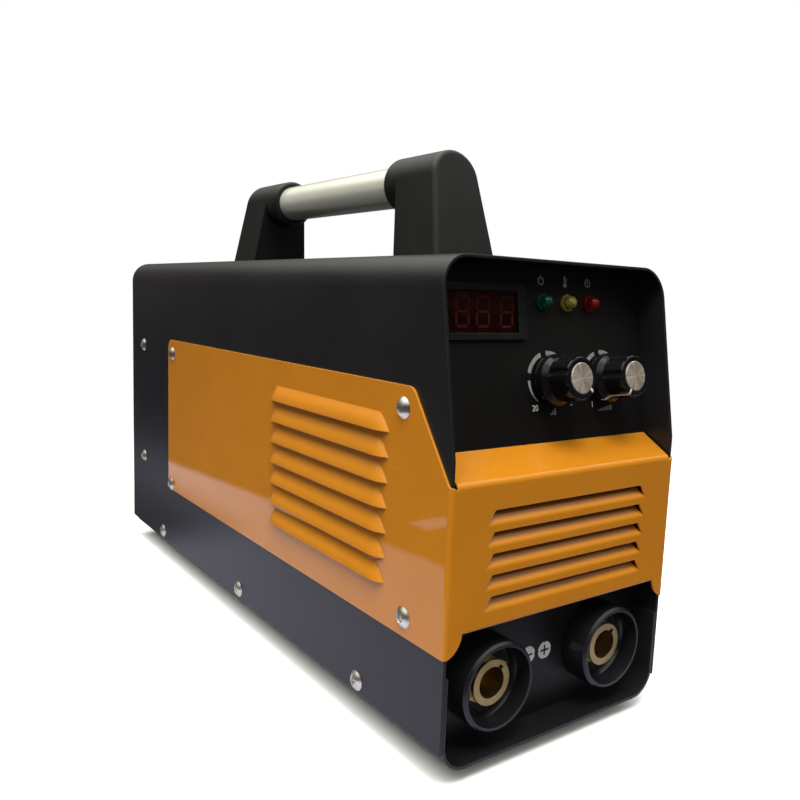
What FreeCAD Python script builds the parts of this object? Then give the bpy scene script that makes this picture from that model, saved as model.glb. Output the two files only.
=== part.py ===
"""Stick welding inverter: a sheet-metal case with a wrap-round front guard, output sockets,
two dials, a digital display, a carrying handle, and the fan and power parts inside.

Units are millimetres.  +Z is up, the control side faces -Y, and the origin is on the surface
that the feet stand on, under the middle of the case.
"""
import FreeCAD
import Part
import math
import os

V = FreeCAD.Vector
os.makedirs("parts", exist_ok=True)

# ---- driving dimensions: case ------------------------------------------------------------
CASE_W = 130.0          # over the cover's two sides
CASE_L = 380.0          # guard's front face to the cover's rear edge
CASE_H = 200.0          # underside of the base tray to the top of the cover
FOOT_H = 6.0
SHEET = 1.2             # steel sheet of the cover and the tray
NEST_GAP = 0.2          # slip clearance between nested sheets
COVER_BEND = 13.0       # outer radius of the cover's two long top edges
TRAY_BEND = 12.0        # outer radius of the tray's two long bottom edges
COVER_EDGE_H = 9.0      # cover's lower edge above the tray's underside
TRAY_SIDE_H = 40.0      # upturned sides of the tray
PANEL_T = 1.5           # front and rear panels
PANEL_FLANGE = 14.0     # turned edges that carry the panels' screws
FRONT_RECESS = 15.5     # guard's face to the front panel
REAR_RECESS = 20.0      # cover's rear edge to the rear panel
SILL_H = 124.0          # where the upright front meets the leaning control panel
LEAN = 9.3              # degrees that the control panel and the hood's edge lean back

# ---- driving dimensions: front guard -----------------------------------------------------
GUARD_T = 1.0
GUARD_TOP_H = 149.0     # side plates, above the tray's underside
GUARD_LOW_H = 48.0
GUARD_REACH = 300.0     # length of the side plates, back from the face
GUARD_FACE_LOW_H = 56.4
GUARD_FACE_TOP_H = 115.0
GUARD_NOSE_BACK = 26.0  # how far the top front corner is cut back
GUARD_CORNER = 6.0
GUARD_LIP = 3.0
SIDE_LOUVRES = 7
SIDE_LOUVRE_L = 106.0
SIDE_LOUVRE_PITCH = 10.55
SIDE_LOUVRE_TOP_H = 128.9
SIDE_LOUVRE_START = 40.5
LOUVRE_R = 7.0
LOUVRE_OUT = 4.0
FRONT_LOUVRES = 5
FRONT_LOUVRE_PITCH = 8.6
FRONT_LOUVRE_TOP_H = 103.7
FRONT_LOUVRE_RISE = 6.3
FRONT_LOUVRE_TOP_W = 87.0
FRONT_LOUVRE_LOW_W = 95.0
FLAP_IN = 3.2

# ---- driving dimensions: handle ----------------------------------------------------------
GRIP_D = 21.0
GRIP_WALL = 1.5
GRIP_RISE = 39.8        # grip axis above the cover's top
GRIP_SPAN = 121.6       # bare tube between the two posts
GRIP_SEAT = 22.0        # how deep the tube sits in each post
POST_W = 38.0           # across the foot of a post
POST_HEAD_R = 14.0      # rounded head, about the grip's axis
POST_FOOT = 34.4        # along the case, at the cover
POST_HEAD_OVER = 19.5   # head reaches this far inward of the foot
POST_LEAN_OUT = 10.0    # outer face leans inward by this over the grip's rise
POST_LEAN_IN = 7.0      # inner face, over the same rise
POST_EDGE = 2.5         # rounding of the outer face's rim and of the head's end

# ---- driving dimensions: sockets, dials, display -----------------------------------------
SOCKET_X = 34.5
SOCKET_H = 28.7
SOCKET_OD = 37.6
SOCKET_RIM = 2.0
SOCKET_PROUD = 14.0
SOCKET_CUP = 11.0
SOCKET_NECK_R = 13.8
SOCKET_BACK = 13.0      # housing behind the front panel's face
INSERT_AF = 19.6
INSERT_COLLAR_R = 9.7
INSERT_SET_BACK = 5.0   # brass face behind the rim
PLUG_BORE_R = 6.65
PLUG_BORE_L = 18.0
STUD_R = 5.0
STUD_L = 20.0
BUSBAR_T = 3.0

DIAL_X = (1.3, 35.2)
DIAL_UP = 26.2          # up the leaning panel from the sill
DIAL_REST = (133.0, -150.0)   # pointer, clockwise from the top, in degrees
DIAL_SKIRT_R = 11.0
DIAL_BODY_R = 9.3
DIAL_CROWN_R = 8.7
DIAL_STAND = 2.5        # air under the skirt
DIAL_TALL = 18.8
DIAL_FLUTES = 8
CAP_R = 5.9
CAP_T = 0.9
SHAFT_R = 3.0
TURN_GAP = 0.05         # radial running clearance
BUSH_R = 3.6
POT_R = 8.0
POT_DEEP = 9.0

LAMP_X = (0.0, 14.8, 29.5)
LAMP_UP = 59.6
LAMP_R = 2.9
LAMP_FLANGE_R = 3.7
DISPLAY_X = (-56.0, -11.0)
DISPLAY_UP = (43.6, 66.2)
WINDOW_X = (-53.9, -14.6)
WINDOW_UP = (45.3, 64.5)
BEZEL_PROUD = 1.6

# ---- driving dimensions: rear and inside -------------------------------------------------
FAN_SIZE = 92.0
FAN_DEEP = 25.0
FAN_PITCH = 82.5
FAN_BORE_R = 43.5
FAN_TIP_GAP = 1.5
FAN_HUB_R = 18.0
FAN_BLADES = 7
FAN_H = 66.0            # fan axis above the tray's underside
FAN_STRUT = 4.0
GRILLE_WIRE_R = 1.0
GRILLE_RINGS = 5
AXLE_R = 2.0
SWITCH_X = -30.0
SWITCH_H = 164.0
SWITCH_W = 25.0
SWITCH_TALL = 32.0
SWITCH_DEEP = 22.0
ROCKER_TILT = 8.0       # either way from level
GLAND_X = 30.0
GLAND_AF = 24.0
GLAND_NECK_R = 9.2
CABLE_R = 5.0
EARTH_IN = 10.2         # earth stud, in from the tray's side
EARTH_H = 15.0
EARTH_R = 3.0
EARTH_END_R = 2.4       # free end of the stud, past its nut
EARTH_NUT_END = 6.0     # nut's outer face, behind the rear panel
EARTH_L = 20.0
BOARD_T = 1.6
BOARD_LIFT = 12.0
BOARD_SIDE_GAP = 6.4    # main board to the tray's sides
BOARD_FRONT_GAP = 44.5  # main board behind the front panel's face
BOARD_REAR_GAP = 15.5   # main board ahead of the fan
BOARD_POST_END = 6.0    # post centres, in from the board's ends
CONTROL_HALF = 58.0     # control board, half its width
CONTROL_UP = (8.0, 70.0)
SINK_FINS = 9
SINK_HALF_GAP = 14.0    # heat sinks' backs from the middle of the case
SINK_W = 40.0
SINK_TALL = 84.0
SINK_CLEAR = 15.0       # from the transformer's core, and from the capacitors
CORE_W = 70.0
CORE_L = 56.0
CORE_TALL = 62.0
CORE_AHEAD = 44.0       # core behind the board's front edge
COIL_OVER = 10.0
CHOKE_R = 17.0
CHOKE_WIRE_R = 7.5
CAN_R = 14.0
CAN_H = 45.0
CAN_PITCH = 32.0
CAN_REAR = 10.0
BUSBAR_REACH = 45.0
BUSBAR_W = 20.0
FOOT_R = 8.0
FOOT_IN_X = 22.0        # foot centres, in from the case's sides
FOOT_IN_Y = 40.0        # and in from its two ends

# ---- driving dimensions: fasteners -------------------------------------------------------
SCREW_R = 2.0
SCREW_L = 7.0
HEAD_R = 4.5
HEAD_H = 2.2
HOLE_GAP = 0.25
GUARD_SCREWS = ((292.0, 140.0), (294.0, 52.0), (31.6, 140.0), (26.5, 56.0))
LOW_SCREWS = (60.5, 186.0, 313.0)
LOW_SCREW_H = 14.0
REAR_SCREW_IN = 26.5
REAR_SCREWS_H = (60.0, 141.6)
BOLT_R = 2.5

# ---- places worked out from them ---------------------------------------------------------
Y_FACE = -CASE_L / 2
Y_EDGE = Y_FACE + GUARD_T
Y_REAR = CASE_L / 2
Z_BASE = FOOT_H
Z_TOP = FOOT_H + CASE_H
Z_FLOOR = Z_BASE + SHEET
HALF = CASE_W / 2
COVER_IN = HALF - SHEET
TRAY_HALF = COVER_IN - NEST_GAP
TRAY_IN = TRAY_HALF - SHEET
TAN = math.tan(math.radians(LEAN))
SILL_Z = Z_BASE + SILL_H
PANEL_Y = Y_FACE + FRONT_RECESS
PANEL_BACK = PANEL_Y + PANEL_T
REAR_Y = Y_REAR - REAR_RECESS
REAR_IN = REAR_Y - PANEL_T
GUARD_X = HALF + GUARD_T
SOCKET_Z = Z_BASE + SOCKET_H
RIM_Y = PANEL_Y - SOCKET_PROUD
BRASS_Y = RIM_Y + INSERT_SET_BACK
HOUSING_END = PANEL_Y + SOCKET_BACK
GRIP_Z = Z_TOP + GRIP_RISE
POST_HEAD_Y = GRIP_SPAN / 2
POST_IN_Y = POST_HEAD_Y + POST_HEAD_OVER
POST_OUT_Y = POST_IN_Y + POST_FOOT
FAN_Z = Z_BASE + FAN_H
BOARD_Z = Z_FLOOR + BOARD_LIFT
BOARD_TOP = BOARD_Z + BOARD_T
SWITCH_Z = Z_BASE + SWITCH_H
EARTH_X = TRAY_IN - EARTH_IN
EARTH_Z = Z_BASE + EARTH_H
BOARD_HALF = TRAY_IN - BOARD_SIDE_GAP
BOARD_Y = (PANEL_Y + BOARD_FRONT_GAP, REAR_IN - FAN_DEEP - BOARD_REAR_GAP)
CORE_Y = (BOARD_Y[0] + CORE_AHEAD, BOARD_Y[0] + CORE_AHEAD + CORE_L)
CAN_Y = BOARD_Y[1] - CAN_REAR - CAN_R
SINK_X = (SINK_HALF_GAP, SINK_HALF_GAP + SINK_W)
SINK_Y = (CORE_Y[1] + SINK_CLEAR, CAN_Y - CAN_R - SINK_CLEAR)


# ---- shape helpers -----------------------------------------------------------------------
def on_axis(axis, level, u, v):
    """A point whose place along the axis is level; u and v are the other two, in order."""
    return {"x": V(level, u, v), "y": V(u, level, v), "z": V(u, v, level)}[axis]


def outline(corners, axis, level):
    """A flat face through (u, v, radius) corners; a radius above 0 rounds its corner."""
    edges = []
    ends = []
    count = len(corners)
    for i, (u, v, radius) in enumerate(corners):
        here = V(u, v, 0)
        before = (V(*corners[i - 1][:2], 0) - here).normalize()
        after = (V(*corners[(i + 1) % count][:2], 0) - here).normalize()
        if radius <= 0:
            ends.append((here, None, here))
            continue
        half = before.getAngle(after) / 2
        reach = radius / math.tan(half)
        middle = (before + after).normalize() * (radius / math.sin(half))
        nearest = here + middle - middle.normalize() * radius
        ends.append((here + before * reach, nearest, here + after * reach))

    def lift(p):
        return on_axis(axis, level, p.x, p.y)

    for i, (start, nearest, end) in enumerate(ends):
        if nearest is not None:
            edges.append(Part.Arc(lift(start), lift(nearest), lift(end)).toShape())
        following = ends[(i + 1) % count][0]
        if end.distanceToPoint(following) > 1e-6:
            edges.append(Part.LineSegment(lift(end), lift(following)).toShape())
    return Part.Face(Part.Wire(edges))


def prism(corners, axis, low, high):
    return outline(corners, axis, low).extrude(on_axis(axis, high - low, 0, 0))


def block(x, y, z):
    return Part.makeBox(x[1] - x[0], y[1] - y[0], z[1] - z[0], V(x[0], y[0], z[0]))


def rod(axis, u, v, radius, low, high):
    direction = on_axis(axis, 1, 0, 0)
    return Part.makeCylinder(radius, high - low, on_axis(axis, low, u, v), direction)


def tube(axis, u, v, outer, inner, low, high):
    return rod(axis, u, v, outer, low, high).cut(rod(axis, u, v, inner, low, high))


def hexagon(axis, u, v, across_flats, low, high):
    reach = across_flats / math.sqrt(3)
    turns = [math.radians(60 * i + 30) for i in range(6)]
    ring = [(u + reach * math.cos(t), v + reach * math.sin(t), 0) for t in turns]
    return prism(ring, axis, low, high)


def turned(profile):
    """A solid turned about the Y axis from (radius, y) points."""
    face = outline([(r, y, 0) for r, y in profile], "z", 0)
    return face.revolve(V(0, 0, 0), V(0, 1, 0), 360)


def union(shapes):
    shapes = list(shapes)
    return shapes[0].fuse(shapes[1:]).removeSplitter()


def both_sides(shape):
    return [shape, shape.mirror(V(0, 0, 0), V(1, 0, 0))]


def on_panel(shape):
    """Lay a shape modelled with its back on y = 0 and z up the panel onto the leaning panel."""
    placed = shape.copy()
    placed.rotate(V(0, 0, 0), V(1, 0, 0), -LEAN)
    placed.translate(V(0, PANEL_Y, SILL_Z))
    return placed


def save(name, shape):
    parts = shape if isinstance(shape, list) else [shape]
    solids = [solid for part in parts for solid in part.Solids]
    whole = solids[0] if len(solids) == 1 else Part.makeCompound(solids)
    whole.exportStep("parts/" + name + ".step")
    print(name, len(solids), round(whole.Volume / 1000, 2), whole.isValid())


# ---- fasteners ---------------------------------------------------------------------------
def side_screw(y, z, seat):
    """Cross-head screw in the right side, its truss head resting on x = seat."""
    head = Part.makeSphere((HEAD_R ** 2 + HEAD_H ** 2) / (2 * HEAD_H))
    head.translate(V(HEAD_H - (HEAD_R ** 2 + HEAD_H ** 2) / (2 * HEAD_H), 0, 0))
    head = head.common(rod("x", 0, 0, HEAD_R, 0, HEAD_H + 1))
    shank = rod("x", 0, 0, SCREW_R, -SCREW_L, 0.2)
    screw = head.fuse(shank)
    for angle in (0, 90):
        slot = block((HEAD_H - 1.1, HEAD_H + 1), (-2.2, 2.2), (-0.4, 0.4))
        slot.rotate(V(0, 0, 0), V(1, 0, 0), angle)
        screw = screw.cut(slot)
    screw.translate(V(seat, y, z))
    return screw


def upright_screw(x, y, z, down, radius=SCREW_R, length=SCREW_L):
    """Pan-head screw whose head seats on height z; down is 1 when the head is below."""
    head = rod("z", x, y, HEAD_R, z - HEAD_H, z) if down else rod("z", x, y, HEAD_R, z, z + HEAD_H)
    shank = rod("z", x, y, radius, z, z + length) if down else rod("z", x, y, radius, z - length, z)
    return union([head, shank])


def guard_screw_places():
    return [(Y_FACE + back, Z_BASE + up) for back, up in GUARD_SCREWS]


def low_screw_places():
    return [(Y_FACE + back, Z_BASE + LOW_SCREW_H) for back in LOW_SCREWS]


def rear_screw_places():
    return [(Y_REAR - REAR_SCREW_IN, Z_BASE + up) for up in REAR_SCREWS_H]


def side_holes(places, radius):
    return [rod("x", y, z, radius, -HALF - 5, HALF + 5) for y, z in places]


def handle_bolt_places():
    inner = POST_IN_Y + POST_FOOT * 0.28
    outer = POST_IN_Y + POST_FOOT * 0.68
    return [(0.0, side * y) for side in (-1, 1) for y in (inner, outer)]


def panel_screw_places():
    front = PANEL_BACK + PANEL_FLANGE / 2
    rear = REAR_IN - PANEL_FLANGE / 2
    return [(side * HALF * 0.4, y) for side in (-1, 1) for y in (front, rear)]


def foot_places():
    x = HALF - FOOT_IN_X
    return [(sx * x, sy * (CASE_L / 2 - FOOT_IN_Y)) for sx in (-1, 1) for sy in (-1, 1)]


# ---- case --------------------------------------------------------------------------------
def arch(half, top, low, bend, y0, y1):
    """A prism along Y with two rounded top corners."""
    corners = [(-half, low, 0), (-half, top, bend), (half, top, bend), (half, low, 0)]
    return prism(corners, "y", y0, y1)


def trough(half, low, top, bend, y0, y1):
    corners = [(-half, top, 0), (-half, low, bend), (half, low, bend), (half, top, 0)]
    return prism(corners, "y", y0, y1)


def cover():
    low = Z_BASE + COVER_EDGE_H
    shell = arch(HALF, Z_TOP, low, COVER_BEND, Y_EDGE, Y_REAR)
    shell = shell.cut(arch(COVER_IN, Z_TOP - SHEET, low - 1, COVER_BEND - SHEET, Y_EDGE, Y_REAR))
    slant = [(Y_EDGE - 5, SILL_Z, 0), (Y_EDGE, SILL_Z, 0),
             (Y_EDGE + TAN * (Z_TOP - SILL_Z + 5), Z_TOP + 5, 0), (Y_EDGE - 5, Z_TOP + 5, 0)]
    shell = shell.cut(prism(slant, "x", -HALF - 1, HALF + 1))
    start = Y_FACE + SIDE_LOUVRE_START
    top = Z_BASE + SIDE_LOUVRE_TOP_H + LOUVRE_R
    bottom = top - LOUVRE_R - SIDE_LOUVRE_PITCH * (SIDE_LOUVRES - 1)
    air = [(start, bottom, 5), (start, top, 5),
           (start + SIDE_LOUVRE_L, top, 5), (start + SIDE_LOUVRE_L, bottom, 5)]
    shell = shell.cut(prism(air, "x", -HALF - 1, HALF + 1))
    places = guard_screw_places() + low_screw_places() + rear_screw_places()
    holes = side_holes(places, SCREW_R + HOLE_GAP)
    holes += [rod("z", x, y, BOLT_R + HOLE_GAP, Z_TOP - 5, Z_TOP + 5)
              for x, y in handle_bolt_places()]
    return shell.cut(holes)


def base_tray():
    top = Z_BASE + TRAY_SIDE_H
    shell = trough(TRAY_HALF, Z_BASE, top, TRAY_BEND, Y_EDGE, Y_REAR)
    shell = shell.cut(trough(TRAY_IN, Z_FLOOR, top + 1, TRAY_BEND - SHEET, Y_EDGE, Y_REAR))
    holes = side_holes(low_screw_places(), SCREW_R)
    for x, y in foot_places() + panel_screw_places() + board_post_places():
        holes.append(rod("z", x, y, SCREW_R, Z_BASE - 1, Z_FLOOR + 1))
    return shell.cut(holes)


def sleeve_room():
    """The room inside the tray and the cover that a panel may fill."""
    top = Z_BASE + TRAY_SIDE_H + NEST_GAP
    lower = trough(TRAY_IN - NEST_GAP, Z_FLOOR, top, TRAY_BEND - SHEET, -CASE_L, CASE_L)
    upper = arch(COVER_IN - NEST_GAP, Z_TOP - SHEET - NEST_GAP, top,
                 COVER_BEND - SHEET, -CASE_L, CASE_L)
    return union([lower, upper])


def front_panel():
    top = Z_TOP
    back = PANEL_BACK + PANEL_FLANGE
    side = [(PANEL_Y, Z_FLOOR, 0), (PANEL_Y, SILL_Z, 0),
            (PANEL_Y + TAN * (top - SILL_Z), top, 0),
            (PANEL_BACK + TAN * (top - SILL_Z), top, 0), (PANEL_BACK, SILL_Z, 0),
            (PANEL_BACK, Z_FLOOR + PANEL_T, 0), (back, Z_FLOOR + PANEL_T, 0), (back, Z_FLOOR, 0)]
    panel = prism(side, "x", -HALF, HALF).common(sleeve_room())
    cuts = [rod("y", side_x * SOCKET_X, SOCKET_Z, SOCKET_NECK_R + HOLE_GAP, PANEL_Y - 5, PANEL_BACK + 5)
            for side_x in (-1, 1)]
    for i in range(FRONT_LOUVRES):
        z = Z_BASE + FRONT_LOUVRE_TOP_H - i * FRONT_LOUVRE_PITCH
        slot = [(-40, z - 4, 2), (-40, z, 2), (40, z, 2), (40, z - 4, 2)]
        cuts.append(prism(slot, "y", PANEL_Y - 5, PANEL_BACK + 5))
    for x in DIAL_X:
        cuts.append(on_panel(rod("y", x, DIAL_UP, BUSH_R + HOLE_GAP, -5, 5)))
    for x in LAMP_X:
        cuts.append(on_panel(rod("y", x, LAMP_UP, LAMP_R, -5, 5)))
    window = block(WINDOW_X, (-5, 5), WINDOW_UP)
    cuts.append(on_panel(window))
    for x, y in panel_screw_places():
        cuts.append(rod("z", x, y, SCREW_R, Z_FLOOR - 1, Z_FLOOR + 3))
    return panel.cut(cuts)


def rear_panel():
    plate = block((-HALF, HALF), (REAR_IN, REAR_Y), (Z_FLOOR, Z_TOP))
    foot = block((-HALF, HALF), (REAR_IN - PANEL_FLANGE, REAR_IN), (Z_FLOOR, Z_FLOOR + PANEL_T))
    panel = union([plate, foot]).common(sleeve_room())
    edge = COVER_IN - NEST_GAP
    turned_in = block((edge - PANEL_T, edge), (REAR_IN - PANEL_FLANGE, REAR_IN + 0.5),
                      (Z_BASE + TRAY_SIDE_H + 4, Z_TOP - COVER_BEND - 4))
    panel = union([panel] + both_sides(turned_in))
    cuts = [rod("y", 0, FAN_Z, FAN_BORE_R, REAR_IN - 5, REAR_Y + 5)]
    for x, z in fan_screw_places():
        cuts.append(rod("y", x, z, SCREW_R + HOLE_GAP, REAR_IN - 5, REAR_Y + 5))
    half_w = SWITCH_W / 2 - 2
    half_h = SWITCH_TALL / 2 - 2
    cuts.append(block((SWITCH_X - half_w, SWITCH_X + half_w), (REAR_IN - 5, REAR_Y + 5),
                      (SWITCH_Z - half_h, SWITCH_Z + half_h)))
    cuts.append(rod("y", GLAND_X, SWITCH_Z, GLAND_NECK_R + HOLE_GAP, REAR_IN - 5, REAR_Y + 5))
    cuts.append(rod("y", EARTH_X, EARTH_Z, EARTH_R + HOLE_GAP, REAR_IN - 5, REAR_Y + 5))
    cuts += side_holes(rear_screw_places(), SCREW_R)
    for x, y in panel_screw_places():
        cuts.append(rod("z", x, y, SCREW_R, Z_FLOOR - 1, Z_FLOOR + 3))
    return panel.cut(cuts)


# ---- front guard -------------------------------------------------------------------------
def capsule(radius, x, y0, y1, z):
    ends = [Part.makeSphere(radius, V(x, y, z)) for y in (y0, y1)]
    return union([rod("y", x, z, radius, y0, y1)] + ends)


def side_louvre(z):
    """A pressed louvre on the right side plate: a hood that is open along its lower edge."""
    x = GUARD_X + LOUVRE_OUT - LOUVRE_R
    y0 = Y_FACE + SIDE_LOUVRE_START + LOUVRE_R
    y1 = y0 + SIDE_LOUVRE_L - 2 * LOUVRE_R
    reach = block((HALF, GUARD_X + LOUVRE_OUT + 1), (y0 - 20, y1 + 20), (z, z + 2 * LOUVRE_R))
    outer = capsule(LOUVRE_R, x, y0, y1, z).common(reach)
    hollow = capsule(LOUVRE_R - GUARD_T, x, y0, y1, z).common(reach)
    return outer, hollow


def front_guard():
    z_low = Z_BASE + GUARD_LOW_H
    z_top = Z_BASE + GUARD_TOP_H
    face_low = Z_BASE + GUARD_FACE_LOW_H
    face_top = Z_BASE + GUARD_FACE_TOP_H
    rear = Y_FACE + GUARD_REACH
    side = [(rear, z_low, GUARD_CORNER), (rear, z_top, GUARD_CORNER),
            (Y_FACE + GUARD_NOSE_BACK, z_top, GUARD_CORNER), (Y_FACE, face_top, 2),
            (Y_FACE, z_low, 8)]
    plate = prism(side, "x", HALF, GUARD_X)
    for i in range(SIDE_LOUVRES):
        outer, hollow = side_louvre(Z_BASE + SIDE_LOUVRE_TOP_H - i * SIDE_LOUVRE_PITCH)
        plate = plate.fuse(outer).cut(hollow)
    plate = plate.cut(side_holes(guard_screw_places(), SCREW_R + HOLE_GAP))
    face = block((-GUARD_X, GUARD_X), (Y_FACE, Y_EDGE), (face_low, face_top))
    ledge_half = COVER_IN - NEST_GAP
    lip = block((-ledge_half, ledge_half), (Y_EDGE, Y_EDGE + GUARD_LIP),
                (face_low, face_low + GUARD_T))
    run = PANEL_Y - Y_FACE
    rise = SILL_Z - face_top
    slope = math.hypot(run, rise)
    down = GUARD_T * slope / run
    ledge = prism([(Y_FACE, face_top, 0), (PANEL_Y - NEST_GAP, SILL_Z, 0),
                   (PANEL_Y - NEST_GAP, SILL_Z - down, 0), (Y_EDGE, face_top - down, 0),
                   (Y_FACE, face_top - down, 0)], "x", -ledge_half, ledge_half)
    cuts = []
    flaps = []
    for i in range(FRONT_LOUVRES):
        z = Z_BASE + FRONT_LOUVRE_TOP_H - i * FRONT_LOUVRE_PITCH
        low = z - FRONT_LOUVRE_RISE
        cuts.append(prism([(-FRONT_LOUVRE_LOW_W / 2, low, 0), (-FRONT_LOUVRE_TOP_W / 2, z, 0),
                           (FRONT_LOUVRE_TOP_W / 2, z, 0), (FRONT_LOUVRE_LOW_W / 2, low, 0)],
                          "y", Y_FACE - 1, Y_EDGE + 1))
        flaps.append(prism([(Y_FACE, low, 0), (Y_FACE + FLAP_IN, z - 0.6, 0),
                            (Y_EDGE + FLAP_IN, z - 0.6, 0), (Y_EDGE, low, 0),
                            (Y_EDGE, low - 0.3, 0), (Y_FACE, low - 0.3, 0)],
                           "x", -FRONT_LOUVRE_TOP_W / 2 + 0.5, FRONT_LOUVRE_TOP_W / 2 - 0.5))
    face = union([face.cut(cuts)] + flaps)
    return union([face, lip, ledge] + both_sides(plate))


# ---- handle ------------------------------------------------------------------------------
def handle_post():
    """The front post; the rear one is its mirror image."""
    half = POST_W / 2
    taper = math.acos(POST_HEAD_R / math.hypot(half, GRIP_RISE)) - math.atan2(GRIP_RISE, half)
    apex = GRIP_Z + POST_HEAD_R / math.sin(taper)
    broad = prism([(-half, Z_TOP, 0), (0, apex, POST_HEAD_R), (half, Z_TOP, 0)],
                  "y", -POST_OUT_Y, -POST_HEAD_Y)
    tall = POST_HEAD_R + GRIP_RISE + 1
    outer_top = -POST_OUT_Y + POST_LEAN_OUT / GRIP_RISE * tall
    inner_top = -POST_IN_Y + POST_LEAN_IN / GRIP_RISE * tall
    leg = [(-POST_OUT_Y, Z_TOP, 0), (outer_top, Z_TOP + tall, 0),
           (inner_top, Z_TOP + tall, 0), (-POST_IN_Y, Z_TOP, 0)]
    leg = broad.common(prism(leg, "x", -half - 1, half + 1))
    head_back = -POST_IN_Y + POST_LEAN_IN / GRIP_RISE * (GRIP_RISE - POST_HEAD_R) - 6
    head = rod("y", 0, GRIP_Z, POST_HEAD_R, head_back, -POST_HEAD_Y)
    post = union([leg, head])
    post = post.makeFillet(POST_EDGE, [e for e in post.Edges if is_post_edge(e)])
    socket = rod("y", 0, GRIP_Z, GRIP_D / 2, -POST_HEAD_Y - GRIP_SEAT, -POST_HEAD_Y + 1)
    pilots = [rod("z", x, y, BOLT_R, Z_TOP - 1, Z_TOP + 16) for x, y in handle_bolt_places()]
    return post.cut([socket] + pilots)


def is_post_edge(edge):
    """The rim of the outer face, and the rim of the head round the grip."""
    box = edge.BoundBox
    slope = POST_LEAN_OUT / GRIP_RISE
    gaps = [abs(v.Y + POST_OUT_Y - slope * (v.Z - Z_TOP)) for v in edge.Vertexes]
    on_outer_face = max(gaps) < 0.01 and box.ZMax > Z_TOP + 1
    return on_outer_face or box.YMin > -POST_HEAD_Y - 0.01


def handle_tube():
    half = POST_HEAD_Y + GRIP_SEAT
    return tube("y", 0, GRIP_Z, GRIP_D / 2, GRIP_D / 2 - GRIP_WALL, -half, half)


def handle_bolts():
    return [upright_screw(x, y, Z_TOP - SHEET, 1, BOLT_R, SHEET + 16)
            for x, y in handle_bolt_places()]


# ---- output sockets ----------------------------------------------------------------------
def socket_housing(x):
    r = SOCKET_OD / 2
    rim = r - SOCKET_RIM
    floor = RIM_Y + SOCKET_CUP
    body = turned([(0, RIM_Y), (r - 1, RIM_Y), (r, RIM_Y + 1), (r, PANEL_Y),
                   (SOCKET_NECK_R, PANEL_Y), (SOCKET_NECK_R, HOUSING_END), (0, HOUSING_END)])
    cup = turned([(0, RIM_Y - 1), (rim, RIM_Y - 1), (rim, floor - 3), (rim - 2, floor), (0, floor)])
    body.translate(V(x, 0, SOCKET_Z))
    cup.translate(V(x, 0, SOCKET_Z))
    seat = hexagon("y", x, SOCKET_Z, INSERT_AF, RIM_Y, HOUSING_END + 1)
    return body.cut([cup, seat])


def socket_insert(x):
    """Brass socket: a keyed bore in front, and a stud behind that takes the busbar."""
    hex_front = BRASS_Y + 2.0
    body = union([rod("y", x, SOCKET_Z, INSERT_COLLAR_R, BRASS_Y, hex_front),
                  hexagon("y", x, SOCKET_Z, INSERT_AF, hex_front, HOUSING_END),
                  rod("y", x, SOCKET_Z, STUD_R, HOUSING_END, HOUSING_END + STUD_L)])
    key = block((-1.1, 1.1), (BRASS_Y - 1, BRASS_Y + 7), (PLUG_BORE_R - 1, PLUG_BORE_R + 1.4))
    key.rotate(V(0, 0, 0), V(0, 1, 0), 40)
    key.translate(V(x, 0, SOCKET_Z))
    return body.cut([rod("y", x, SOCKET_Z, PLUG_BORE_R, BRASS_Y - 1, BRASS_Y + PLUG_BORE_L), key])


def socket_rings():
    return [tube("y", side * SOCKET_X, SOCKET_Z, SOCKET_NECK_R + 4, SOCKET_NECK_R,
                 PANEL_BACK, PANEL_BACK + 5) for side in (-1, 1)]


def socket_nuts():
    low = HOUSING_END + BUSBAR_T
    nuts = []
    for side in (-1, 1):
        nut = hexagon("y", side * SOCKET_X, SOCKET_Z, 17, low, low + 7)
        nuts.append(nut.cut(rod("y", side * SOCKET_X, SOCKET_Z, STUD_R, low, low + 7)))
    return nuts


def busbar(side):
    """Copper strap from a socket's stud down to the main board."""
    x = side * SOCKET_X
    y0 = HOUSING_END
    wide = (x - BUSBAR_W / 2, x + BUSBAR_W / 2)
    upright = block(wide, (y0, y0 + BUSBAR_T), (BOARD_TOP, SOCKET_Z + BUSBAR_W / 2 + 1))
    foot = block(wide, (y0, y0 + BUSBAR_REACH), (BOARD_TOP, BOARD_TOP + BUSBAR_T))
    hole = rod("y", x, SOCKET_Z, STUD_R, y0 - 1, y0 + BUSBAR_T + 1)
    return union([upright, foot]).cut(hole)


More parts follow.
